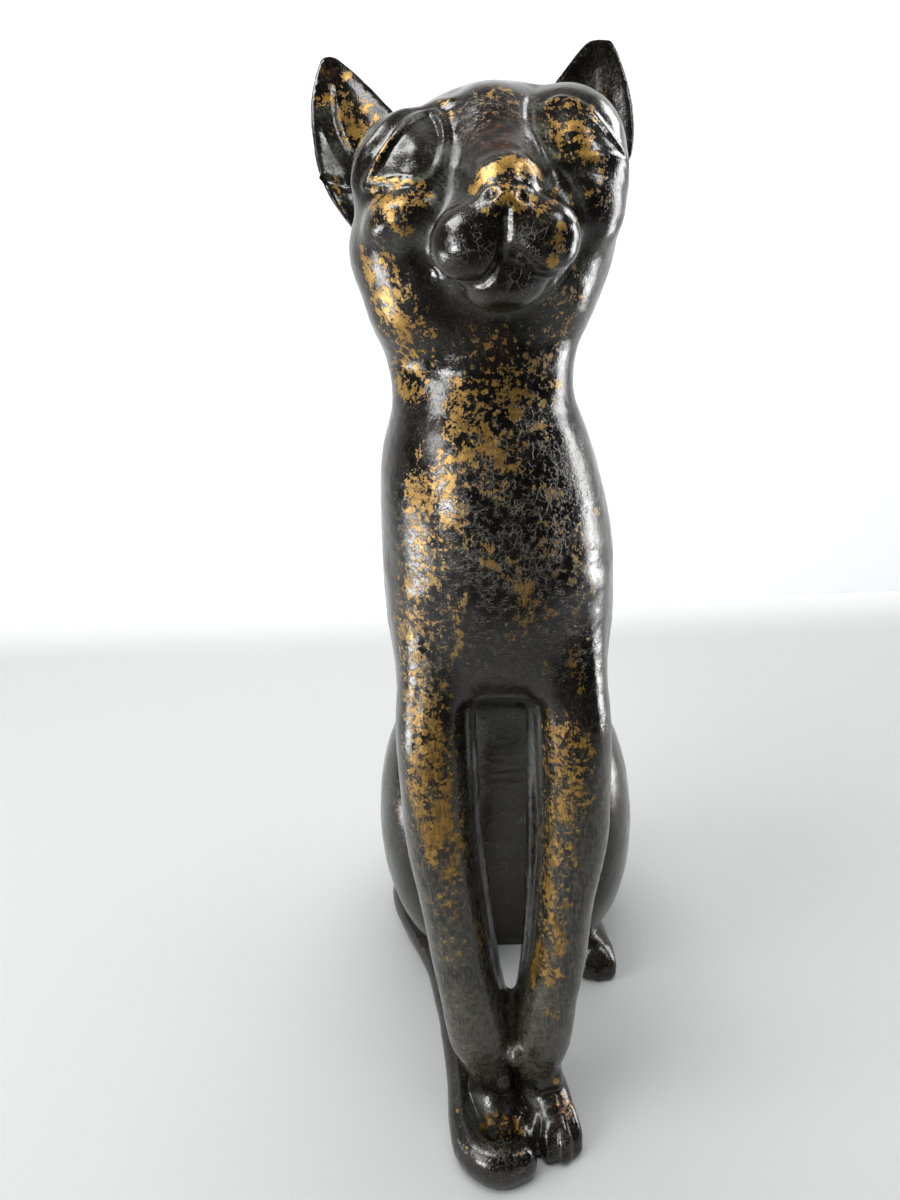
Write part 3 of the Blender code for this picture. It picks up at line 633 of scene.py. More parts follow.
# ---------------------------------------------------------------------------
# Where the lacquer is worn, crazed or dusty, and where pale lines and painted highlights go on the face. Places are in
# the units of the shape.
# ---------------------------------------------------------------------------
# Gold patches: (half width, strength, the line that the patch follows)
GOLD = [
    # head
    (5.4, 1.00, [(-12, 56, 907), (-5, 54, 914), (3, 54, 918), (12, 55, 921), (23, 59, 917), (34, 74, 912)]),
    (6.3, 0.75, [(5, 41, 905), (13, 39, 901), (22, 43, 896), (33, 47, 895)]),
    (3.2, 0.70, [(-10, 57, 912), (-15, 61, 906)]),
    (3.4, 0.45, [(-6, 39, 893), (3, 39, 891)]),
    (7.0, 0.80, [(-83, 99, 902), (-72, 81, 901), (-60, 76, 900), (-48, 80, 904)]),
    (6.7, 0.55, [(-83, 85, 893), (-72, 76, 887), (-61, 74, 885)]),
    (2.0, 0.90, [(-84, 102, 915), (-68, 92, 914), (-55, 87, 912), (-45, 87, 911)]),
    (2.0, 0.80, [(-83, 101, 922), (-76, 102, 931), (-67, 105, 941)]),
    (5.1, 0.60, [(41, 124, 957), (56, 123, 958), (71, 120, 952), (73, 117, 947)]),
    (3.0, 1.00, [(48, 106, 934), (50, 105, 932)]),
    (4.3, 1.00, [(57, 109, 941), (65, 109, 941), (68, 103, 931), (66, 98, 922), (72, 99, 921)]),
    (4.0, 0.50, [(41, 116, 948), (43, 108, 937), (49, 112, 942)]),
    (3.7, 0.90, [(79, 102, 919), (77, 97, 910)]),
    (5.7, 0.55, [(68, 89, 901), (77, 93, 902), (78, 90, 893)]),
    (7.6, 0.90, [(-114, 244, 961), (-108, 242, 954), (-92, 133, 940)]),
    (6.7, 0.60, [(-99, 246, 971), (-92, 241, 957)]),
    (5.9, 0.50, [(-113, 249, 974), (-109, 245, 963)]),
    (5.1, 0.85, [(-132, 241, 973), (-126, 244, 978), (-123, 244, 974)]),
    (4.3, 0.90, [(-114, 253, 992), (-111, 252, 990)]),
    (3.5, 0.70, [(-124, 218, 917), (-122, 214, 908), (-118, 206, 895)]),
    (4.1, 1.00, [(39, 42, 858), (40, 39, 866), (43, 39, 875), (45, 41, 882)]),
    (2.6, 0.80, [(43, 86, 903), (39, 49, 895)]),
    (3.3, 0.50, [(56, 87, 896), (55, 54, 885)]),
    (2.3, 0.80, [(-7, 100, 948), (-2, 97, 948)]),
    (2.0, 0.70, [(2, 114, 962), (9, 115, 962)]),
    (5.8, 0.40, [(-33, 134, 963), (-28, 118, 952)]),
    (5.3, 0.95, [(-94, 106, 869), (-91, 104, 859), (-90, 106, 850)]),
    (6.9, 0.75, [(-77, 91, 864), (-73, 91, 854)]),
    (8.2, 0.75, [(-83, 102, 842), (-75, 96, 835), (-71, 97, 820), (-68, 100, 810)]),
    (5.4, 0.50, [(-89, 105, 847), (-84, 110, 818)]),
    (6.4, 0.50, [(-63, 89, 844), (-61, 91, 827), (-44, 95, 810)]),
    (2.8, 0.70, [(59, 97, 850), (61, 99, 845)]),
    (6.4, 0.60, [(54, 99, 830), (62, 106, 827), (65, 112, 820)]),
    (4.3, 0.50, [(44, 104, 810), (39, 103, 805)]),
    (5.5, 0.70, [(24, 100, 779), (33, 104, 783), (41, 110, 786)]),
    (3.7, 0.40, [(57, 111, 811), (54, 114, 802)]),
    # chest
    (6.7, 0.85, [(-76, 127, 770), (-72, 119, 763), (-59, 106, 763)]),
    (4.1, 0.80, [(-60, 112, 782), (-56, 109, 777)]),
    (4.6, 0.50, [(-70, 119, 786), (-69, 119, 773)]),
    (4.1, 0.60, [(-52, 105, 771), (-48, 101, 766)]),
    (3.6, 0.95, [(-31, 97, 775), (-29, 95, 768), (-29, 90, 757)]),
    (4.4, 0.85, [(-21, 93, 768), (-17, 92, 766)]),
    (4.9, 1.00, [(-34, 94, 763), (-33, 90, 753), (-30, 86, 746), (-22, 82, 742), (-12, 80, 740), (-7, 76, 731), (-1, 73, 721), (0, 72, 715)]),
    (4.9, 0.80, [(-39, 85, 740), (-33, 81, 737)]),
    (4.5, 0.90, [(-37, 76, 718), (-27, 74, 722), (-15, 74, 725), (-9, 74, 727)]),
    (4.4, 0.90, [(1, 93, 771), (7, 95, 774), (11, 95, 769)]),
    (6.5, 1.00, [(3, 91, 760), (11, 91, 757), (12, 87, 748)]),
    (4.0, 0.60, [(-2, 89, 758), (-4, 88, 754)]),
    (3.3, 0.85, [(13, 94, 764), (23, 97, 761), (32, 101, 759)]),
    (3.7, 0.80, [(43, 111, 765), (49, 118, 764), (49, 117, 760)]),
    (3.3, 0.80, [(28, 88, 738), (31, 89, 738)]),
    (3.7, 0.80, [(34, 87, 730), (41, 92, 730)]),
    (2.9, 0.70, [(9, 71, 711), (17, 73, 708), (25, 75, 708)]),
    (3.1, 1.00, [(26, 72, 697), (33, 74, 694), (39, 76, 688), (46, 80, 687)]),
    (3.3, 1.00, [(37, 74, 685), (39, 76, 688)]),
    (4.1, 0.50, [(-60, 90, 727), (-63, 89, 719)]),
    (4.9, 0.50, [(-48, 82, 725), (-46, 79, 717)]),
    (7.5, 0.75, [(-69, 87, 696), (-62, 83, 699), (-47, 75, 701), (-41, 73, 702)]),
    (7.1, 0.70, [(-74, 90, 684), (-56, 77, 690), (-41, 70, 692)]),
    (5.1, 0.65, [(-75, 89, 671), (-57, 75, 678), (-66, 81, 672)]),
    (5.0, 0.95, [(-44, 68, 673), (-36, 66, 676), (-29, 64, 675), (-36, 65, 667)]),
    (4.2, 0.80, [(-26, 62, 659), (-28, 62, 653)]),
    (4.2, 0.90, [(-16, 60, 653), (-8, 59, 651)]),
    (3.4, 0.95, [(-16, 59, 640), (-10, 58, 640), (-4, 61, 631), (0, 57, 628), (6, 58, 623)]),
    (3.3, 0.75, [(7, 59, 641), (11, 59, 639), (15, 60, 629)]),
    (6.8, 1.00, [(17, 59, 616), (19, 59, 608), (14, 58, 602)]),
    (4.3, 0.90, [(25, 61, 603), (32, 63, 599), (40, 67, 589)]),
    (5.2, 0.85, [(10, 59, 592), (14, 60, 587)]),
    (4.8, 0.50, [(5, 61, 574), (7, 62, 571)]),
    (4.2, 0.50, [(28, 64, 647), (38, 67, 641)]),
    (3.9, 0.85, [(54, 74, 616), (56, 75, 611)]),
    (3.5, 0.80, [(61, 80, 587), (59, 78, 583)]),
    (5.0, 0.85, [(55, 77, 549), (59, 78, 545), (57, 77, 536), (59, 76, 529)]),
    (4.1, 0.75, [(65, 79, 532), (65, 76, 518), (63, 74, 511)]),
    (4.0, 0.50, [(32, 72, 540), (34, 73, 531)]),
    (3.1, 0.80, [(78, 109, 660), (82, 117, 657)]),
    (4.3, 0.85, [(-60, 74, 623), (-56, 71, 618), (-51, 69, 618)]),
    (4.1, 0.60, [(-94, 116, 607), (-89, 106, 609), (-76, 89, 613)]),
    (4.5, 0.55, [(-82, 94, 601), (-80, 92, 592)]),
    (2.6, 0.70, [(-45, 66, 608), (-45, 66, 598)]),
    (3.1, 0.90, [(-30, 60, 614), (-33, 61, 602), (-37, 64, 594), (-39, 66, 584), (-37, 67, 571), (-39, 70, 559), (-44, 72, 551), (-47, 74, 542)]),
    (2.6, 0.70, [(-50, 71, 581), (-49, 72, 569)]),
    (5.5, 0.95, [(-88, 101, 563), (-84, 95, 560), (-85, 97, 557)]),
    (4.9, 0.85, [(-72, 85, 570), (-68, 82, 569), (-63, 79, 568)]),
    (3.2, 0.60, [(-72, 82, 546), (-72, 81, 542)]),
    (3.2, 0.60, [(-81, 85, 529), (-80, 84, 527)]),
    (4.1, 0.70, [(-54, 75, 524), (-52, 75, 521)]),
    (5.6, 0.50, [(-91, 97, 515), (-88, 89, 509)]),
    (3.7, 0.60, [(-78, 79, 514), (-76, 77, 510)]),
    (6.9, 0.60, [(-72, 69, 490), (-66, 67, 486), (-59, 67, 481)]),
    # legs
    (4.6, 0.75, [(-77, 71, 489), (-68, 69, 491), (-58, 68, 485)]),
    (6.4, 0.50, [(-83, 72, 481), (-74, 66, 476)]),
    (6.0, 0.90, [(-62, 64, 468), (-68, 62, 459), (-61, 62, 455)]),
    (7.8, 0.75, [(-75, 63, 461), (-80, 63, 446), (-73, 60, 441)]),
    (8.0, 0.80, [(-87, 65, 423), (-82, 61, 411), (-79, 59, 399)]),
    (4.7, 0.80, [(-52, 63, 434), (-54, 61, 423), (-57, 59, 407)]),
    (8.4, 1.00, [(-60, 58, 408), (-59, 57, 390), (-65, 56, 380), (-69, 55, 369)]),
    (5.5, 0.90, [(-78, 58, 386), (-73, 55, 369), (-72, 54, 352)]),
    (6.3, 0.70, [(-49, 60, 374), (-46, 61, 359), (-52, 56, 349), (-58, 53, 335)]),
    (6.4, 0.60, [(-65, 61, 447), (-62, 59, 433)]),
    (3.0, 0.70, [(-80, 57, 345), (-71, 54, 347)]),
    (4.1, 0.60, [(-62, 53, 334), (-57, 53, 328)]),
    (6.5, 0.35, [(-60, 50, 299), (-53, 51, 291)]),
    (4.3, 0.50, [(-31, 64, 260), (-31, 61, 250), (-32, 58, 239)]),
    (4.3, 0.60, [(-125, 282, 241), (-123, 276, 236), (-129, 278, 229)]),
    (3.9, 0.85, [(73, 64, 458), (73, 64, 454)]),
    (4.0, 0.80, [(32, 80, 434), (33, 76, 430)]),
    (3.9, 0.85, [(43, 64, 428), (45, 63, 424)]),
    (4.0, 0.80, [(46, 60, 400), (48, 59, 394), (50, 58, 388)]),
    (3.7, 0.85, [(36, 67, 379), (36, 67, 374)]),
    (3.4, 0.80, [(27, 89, 352), (28, 85, 353)]),
    (4.1, 0.70, [(38, 64, 361), (43, 59, 362)]),
    (3.7, 0.80, [(37, 61, 337), (41, 58, 339)]),
    (2.6, 0.60, [(57, 53, 341), (58, 53, 340)]),
    (4.2, 0.85, [(32, 65, 317), (35, 60, 314), (33, 60, 299), (35, 57, 292)]),
    (2.6, 0.90, [(44, 51, 294), (53, 50, 297)]),
    (5.0, 0.85, [(36, 54, 280), (40, 50, 268), (44, 48, 255), (42, 47, 240)]),
    (4.8, 1.00, [(25, 59, 239), (21, 63, 220), (17, 65, 199), (18, 57, 191)]),
    (5.1, 0.70, [(30, 52, 233), (30, 50, 217), (32, 47, 204)]),
    (5.3, 0.40, [(32, 83, 471), (42, 71, 475), (52, 66, 477)]),
    (2.5, 0.60, [(83, 75, 470), (88, 83, 471)]),
    (4.5, 0.45, [(145, 321, 237), (148, 322, 227)]),
    (4.8, 0.30, [(129, 281, 231), (131, 282, 229)]),
    # feet
    (4.8, 0.70, [(-34, 31, 25), (-38, 32, 16)]),
    (3.5, 0.60, [(-25, 32, 35), (-22, 31, 28)]),
    (3.5, 0.70, [(-6, 36, 27), (-2, 30, 20), (1, 21, 23)]),
    (3.1, 0.80, [(37, 47, 65), (41, 48, 62)]),
    (4.3, 0.50, [(43, 30, 40), (47, 30, 38)]),
    (2.0, 0.70, [(-65, 38, 36), (-64, 35, 36)]),
    (1.9, 0.80, [(-2, -11, 37), (1, -11, 37)]),
    (2.7, 0.40, [(-59, -1, 33), (-55, -3, 35)]),
    (6.3, 0.45, [(31, 42, 170), (39, 41, 165)]),
]
# Pale lines of the face: (half width, strength, the line). Most are pale paint, such as the lower rim of the left eye
# and the philtrum; two are painted highlights, on the upper rim of the left eye and along the edge of the left lip.
PALE_LINES_AND_PAINTED_HIGHLIGHTS = [
    (1.7, 1.00, [(-86, 103, 914), (-73, 93, 913), (-61, 89, 913), (-51, 87, 913), (-41, 89, 917), (-35, 91, 924)]),
    # painted highlight on the upper rim of the left eye
    (1.7, 0.80, [(-64, 106, 944), (-56, 113, 952), (-46, 122, 955), (-36, 119, 954)]),
    (2.0, 1.00, [(8, 42, 888), (9, 42, 880), (8, 42, 872), (7, 45, 865)]),
    (1.4, 0.60, [(6, 43, 863), (12, 43, 863), (19, 43, 859)]),
    # painted highlight along the edge of the left lip
    (0.9, 0.80, [(-32, 81, 844), (-23, 68, 843), (-14, 48, 847), (-7, 45, 850), (-1, 43, 854)]),
    (1.2, 0.90, [(26, 46, 851), (32, 50, 849), (38, 54, 848)]),
    (2.2, 0.60, [(31, 90, 827), (41, 91, 834), (51, 93, 844), (57, 95, 854), (58, 55, 868), (64, 89, 877)]),
    (1.9, 0.60, [(32, 119, 953), (31, 107, 942), (36, 100, 931), (44, 97, 922), (53, 94, 910), (61, 88, 897), (65, 88, 886)]),
    (1.9, 0.50, [(-48, 79, 876), (-41, 48, 867), (-38, 82, 853)]),
    (2.5, 0.40, [(-112, 215, 897), (-97, 118, 886), (-83, 89, 875), (-66, 84, 868)]),
]
# Soft areas: (x, y, z, radius, strength)
SPECKLE = [
    (-83, 102, 841, 19, 0.90), (-74, 99, 820, 19, 0.80), (-65, 109, 796, 18, 0.80), (-74, 123, 770, 19, 0.80), (49, 109, 805, 17, 0.50), (48, 97, 828, 13, 0.50),
    (-63, 80, 686, 23, 1.00), (-61, 76, 654, 24, 0.80), (-72, 84, 607, 25, 0.80), (-78, 89, 568, 25, 0.80), (-82, 87, 531, 26, 0.70), (-75, 72, 499, 24, 0.80),
    (-67, 64, 469, 22, 0.90), (-74, 59, 425, 25, 0.90), (-63, 56, 383, 23, 0.90), (-55, 54, 338, 16, 0.70), (46, 74, 658, 27, 0.45), (72, 88, 599, 16, 0.50),
    (58, 78, 630, 21, 0.50), (-21, 84, 746, 30, 0.50), (25, 96, 756, 30, 0.50), (-8, 70, 711, 30, 0.45), (45, 67, 467, 21, 1.00), (49, 62, 439, 21, 1.00),
    (44, 61, 397, 20, 1.00), (37, 63, 351, 20, 0.90), (34, 60, 306, 19, 0.90), (34, 53, 264, 19, 0.80), (32, 49, 217, 17, 0.80), (57, 58, 410, 18, 0.60),
    (-63, 50, 300, 20, 0.50), (-56, 47, 247, 21, 0.45), (-49, 43, 186, 21, 0.35), (-21, 26, 19, 19, 0.60), (47, 37, 41, 14, 0.50), (91, 80, 403, 14, 0.40),
    (-131, 284, 231, 24, 0.30), (-73, 80, 899, 21, 0.60), (-107, 241, 951, 16, 0.70), (-125, 246, 981, 16, 0.50), (15, 49, 910, 23, 0.60), (56, 108, 939, 21, 0.60),
    (75, 89, 891, 11, 0.50), (43, 39, 870, 10, 0.50), (12, 122, 966, 21, 0.35), (-6, 106, 954, 20, 0.30), (3, 93, 795, 30, 0.30), (20, 61, 587, 24, 0.35),
    (72, 87, 553, 12, 0.40), (104, 264, 971, 12, 0.25),
]
DUST = [
    (-129, 239, 967, 11, 0.50), (96, 267, 979, 15, 0.35), (81, 116, 938, 10, 0.30), (-56, 47, 247, 25, 0.60), (-54, 44, 186, 21, 0.60), (-58, 51, 306, 20, 0.50),
    (-65, 54, 351, 18, 0.35), (28, 45, 182, 23, 0.50), (43, 47, 232, 17, 0.50), (48, 44, 141, 18, 0.50), (-34, 30, 23, 19, 0.70), (-40, 44, 41, 15, 0.50),
    (-47, 40, 120, 20, 0.50), (-81, 65, 453, 14, 0.40), (-124, 291, 254, 17, 0.40), (-148, 300, 188, 22, 0.50), (-141, 311, 240, 19, 0.50), (75, 59, 376, 14, 0.30),
    (21, 30, 36, 14, 0.50), (-29, 94, 928, 10, 1.00), (-27, 86, 909, 10, 0.80), (-36, 79, 894, 8, 0.70), (-47, 78, 878, 10, 0.80), (-61, 79, 876, 10, 0.80),
    (-40, 49, 863, 8, 0.70), (-28, 75, 845, 8, 0.70), (-14, 54, 837, 10, 0.60), (-85, 88, 893, 10, 0.60), (33, 125, 956, 7, 0.80), (35, 107, 940, 7, 0.80),
    (42, 97, 921, 8, 0.80), (60, 88, 898, 7, 0.80), (66, 90, 875, 8, 0.90), (62, 98, 852, 9, 0.70), (48, 95, 832, 10, 0.60), (85, 106, 867, 10, 0.50),
    (-47, 113, 948, 8, 0.50), (-66, 91, 911, 10, 0.40), (-35, 89, 912, 7, 0.60), (-123, 229, 937, 11, 0.70), (-127, 219, 923, 10, 0.60), (-4, 184, 421, 24, 0.70),
    (-33, 100, 454, 11, 0.50), (20, 133, 419, 13, 0.80), (-5, 200, 386, 21, 0.50), (-27, 114, 370, 13, 0.60), (22, 257, 232, 10, 0.70), (16, 108, 276, 9, 0.80),
    (15, 94, 211, 8, 0.80), (-2, 270, 178, 24, 0.35), (3, 48, 109, 12, 0.60), (7, 48, 88, 12, 0.70), (12, 46, 45, 10, 0.60), (-41, 40, 32, 10, 0.60),
    (-22, 46, 140, 14, 0.30),
]
RED = [
    (6, 76, 935, 20, 0.90), (18, 108, 953, 16, 0.80), (-6, 91, 942, 16, 0.50), (39, 116, 949, 8, 0.50), (-22, 92, 811, 19, 0.40), (2, 93, 795, 16, 0.60),
    (29, 63, 638, 31, 0.40), (46, 76, 674, 23, 0.30), (8, 62, 569, 11, 0.70), (45, 70, 481, 19, 0.50), (146, 320, 230, 15, 0.70), (128, 277, 226, 16, 0.60),
    (47, 33, 39, 16, 0.80), (-20, 31, 28, 19, 0.50), (-33, 100, 454, 18, 0.30), (-124, 254, 996, 13, 0.60), (-106, 246, 966, 15, 0.40), (-90, 104, 551, 17, 0.30),
    (-1, 230, 308, 26, 0.25),
]
CRAZE = [
    (14, 63, 672, 34, 1.00), (-1, 64, 688, 31, 0.90), (34, 72, 684, 28, 0.90), (29, 63, 638, 28, 0.80), (-18, 59, 642, 23, 0.60), (1, 84, 745, 33, 0.60),
    (23, 79, 722, 30, 0.70), (-10, 32, 874, 17, 0.80), (26, 36, 874, 16, 0.80), (16, 44, 846, 15, 0.70), (-13, 103, 949, 20, 0.70), (8, 112, 960, 21, 0.60),
    (-112, 253, 996, 13, 0.50), (96, 267, 979, 21, 0.50), (-8, 44, 900, 10, 0.60), (-45, 79, 718, 18, 0.40), (48, 95, 724, 23, 0.50), (-3, 57, 608, 21, 0.50),
    (-31, -9, 40, 16, 0.80), (-2, -19, 31, 18, 0.80), (39, 9, 27, 14, 0.60), (-12, 52, 112, 16, 0.50), (37, 40, 146, 20, 0.40), (-30, 40, 858, 13, 0.30),
]
GRAIN = [
    (-18, 59, 642, 39, 0.50), (13, 58, 606, 32, 0.50), (-24, 65, 689, 31, 0.40), (29, 67, 565, 30, 0.50), (-75, 87, 632, 29, 0.90), (-74, 86, 588, 30, 1.00),
    (-81, 88, 539, 31, 0.90), (-55, 75, 687, 23, 0.70), (45, 69, 600, 32, 0.80), (46, 74, 552, 30, 0.80), (72, 103, 672, 19, 0.80), (76, 97, 622, 16, 0.80),
    (70, 119, 709, 19, 0.60), (-19, 59, 599, 29, 0.50), (-21, 68, 548, 30, 0.50), (20, 69, 546, 30, 0.60), (-65, 73, 508, 26, 0.60), (-51, 93, 929, 10, 0.60),
    (-59, 77, 901, 14, 0.40),
]


def near_line(p, line):
    """Distance of each point from a line through places."""
    line = np.array(line, float)
    if len(line) == 1:
        return np.linalg.norm(p - line[0], axis=1)
    best = np.full(len(p), 1e9)
    for a, b in zip(line, line[1:]):
        ab = b - a
        t = np.clip(((p - a) @ ab) / max(ab @ ab, 1e-9), 0, 1)
        best = np.minimum(best, np.linalg.norm(p - a - t[:, None] * ab, axis=1))
    return best


def line_amount(p, rows):
    """Soft band along each (half width, strength, line)."""
    out = np.zeros(len(p))
    for half, strength, line in rows:
        line = np.array(line, float)
        near = np.flatnonzero(((p > line.min(0) - 3 * half) & (p < line.max(0) + 3 * half)).all(1))
        if len(near):
            d = near_line(p[near], line) / half
            out[near] = np.maximum(out[near], strength * np.exp(-(d**2.6) * 0.62))
    return out


def amount(p, rows):
    """Soft area around each (x, y, z, radius, strength)."""
    out = np.zeros(len(p))
    for x, y, z, radius, strength in rows:
        d = np.linalg.norm(p - (x, y, z), axis=1) / radius
        out = 1 - (1 - out) * (1 - strength * np.exp(-d * d * 0.9))
    return out


def add_mask(mesh, name, values):
    attribute = mesh.attributes.new(name, "FLOAT", "POINT")
    attribute.data.foreach_set("value", np.clip(values, 0, 1).astype(np.float32))


# ---------------------------------------------------------------------------
# The carved surface
# ---------------------------------------------------------------------------
def waves(p, seed, length, count=10):
    """Smooth irregular value around zero, about one across `length`."""
    rng = np.random.default_rng(seed)
    out = np.zeros(len(p))
    for _ in range(count):
        direction = rng.normal(size=3)
        direction /= np.linalg.norm(direction)
        out += np.sin(p @ direction * (2 * math.pi / (length * rng.uniform(0.7, 1.6))) + rng.uniform(0, 6.28))
    return out / math.sqrt(count)


def hand_carving(p):
    """What the knife left: a slow unevenness, level tool marks on the belly, and fine facets."""
    slow = 0.22 * waves(p, 3, 46.0)
    fine = 0.09 * waves(p * (1.0, 1.0, 1.4), 8, 15.0, 14)
    belly = np.exp(-((p[:, 0] / 42) ** 4)) * np.clip((p[:, 1] - 190) / 40, 0, 1) * np.clip((p[:, 2] - 250) / 60, 0, 1) * np.clip((470 - p[:, 2]) / 40, 0, 1)
    marks = 0.28 * belly * np.sin(p[:, 2] * 0.42 + 1.5 * waves(p, 21, 60.0))
    return slow + fine + marks


def close_up(p):
    """The front of the head and the forepaws, which carry the finest carving."""
    q = (p - HEAD_AT) @ HEAD_TURN
    face = (q[:, 1] < -50) & (np.abs(q[:, 0]) < 98) & (q[:, 2] > -76) & (q[:, 2] < 80)
    return face | ((p[:, 2] < 64) & (p[:, 1] < 50))


def finer_close_up(cat, mesh):
    """Halves the spacing of the surface there and settles it again."""
    near = close_up(points_of(mesh))
    bm = bmesh.new()
    bm.from_mesh(mesh)
    edges = [e for e in bm.edges if near[e.verts[0].index] and near[e.verts[1].index]]
    bmesh.ops.subdivide_edges(bm, edges=edges, cuts=1, use_grid_fill=True)
    bm.to_mesh(mesh)
    bm.free()
    p = points_of(mesh)
    at = np.flatnonzero(close_up(p))
    q = p[at]
    for _ in range(3):
        value, g = slope(cat.field, q)
        size = np.maximum(np.linalg.norm(g, axis=1), 0.2)
        q = q - (np.clip(value / size, -3, 3) / size)[:, None] * g
    p[at] = q
    put_points(mesh, p)


def weights_behind(p, normal):
    """1 where the surface may be coarser: the back and the flanks."""
    behind = np.clip((p[:, 1] - 215) / 60, 0, 1) * np.clip((880 - p[:, 2]) / 50, 0, 1)
    weight = np.clip(behind + np.clip((p[:, 1] - 170) / 40, 0, 1) * np.clip(normal[:, 1], 0, 1), 0.25, 1.0)
    return np.where(close_up(p), 0.02, weight)


def fine_statue():
    cat = Cat()
    mesh = carved(cat, CELL, 6)
    finer_close_up(cat, mesh)
    p = points_of(mesh)
    value, g = slope(cat.field, p)
    normal = g / np.maximum(np.linalg.norm(g, axis=1), 0.2)[:, None]
    p = p + hand_carving(p)[:, None] * normal
    put_points(mesh, p)
    bm = bmesh.new()
    bm.from_mesh(mesh)
    cut = bmesh.ops.bisect_plane(bm, geom=bm.verts[:] + bm.edges[:] + bm.faces[:], plane_co=(0, 0, 0), plane_no=(0, 0, -1), clear_outer=True)
    rim = [e for e in cut["geom_cut"] if isinstance(e, bmesh.types.BMEdge)]
    bmesh.ops.triangle_fill(bm, use_beauty=True, use_dissolve=False, edges=rim)
    bmesh.ops.recalc_face_normals(bm, faces=bm.faces)
    bm.to_mesh(mesh)
    bm.free()
    obj = bpy.data.objects.new("cat_carved", mesh)
    bpy.context.scene.collection.objects.link(obj)
    p = points_of(mesh)
    _, g = slope(cat.field, p)
    weight = weights_behind(p, g / np.maximum(np.linalg.norm(g, axis=1), 0.2)[:, None])
    group = obj.vertex_groups.new(name="coarser")
    for step in range(1, 11):
        share = np.flatnonzero(np.round(weight * 10).astype(int) == step)
        if len(share):
            group.add([int(i) for i in share], step / 10, "REPLACE")
    mesh.calc_loop_triangles()
    thin = obj.modifiers.new("Thin", "DECIMATE")
    thin.ratio = min(1.0, MOST_TRIANGLES / len(mesh.loop_triangles))
    thin.vertex_group = "coarser"
    thin.vertex_group_factor = 6.0
    graph = bpy.context.evaluated_depsgraph_get()
    made = bpy.data.meshes.new_from_object(obj.evaluated_get(graph))
    obj.modifiers.clear()
    obj.vertex_groups.clear()
    obj.data = made
    bpy.data.meshes.remove(mesh)
    made.name = "cat_carved"
    p = points_of(made)
    add_mask(made, "gold", line_amount(p, GOLD))
    add_mask(made, "pale", line_amount(p, PALE_LINES_AND_PAINTED_HIGHLIGHTS))
    add_mask(made, "speckle", amount(p, SPECKLE))
    add_mask(made, "dust", amount(p, DUST))
    add_mask(made, "red", amount(p, RED))
    add_mask(made, "craze", amount(p, CRAZE))
    add_mask(made, "grain", amount(p, GRAIN))
    put_points(made, (p - (MIDDLE[0], MIDDLE[1], 0.0)) * UNIT)
    for polygon in made.polygons:
        polygon.use_smooth = True
    return obj


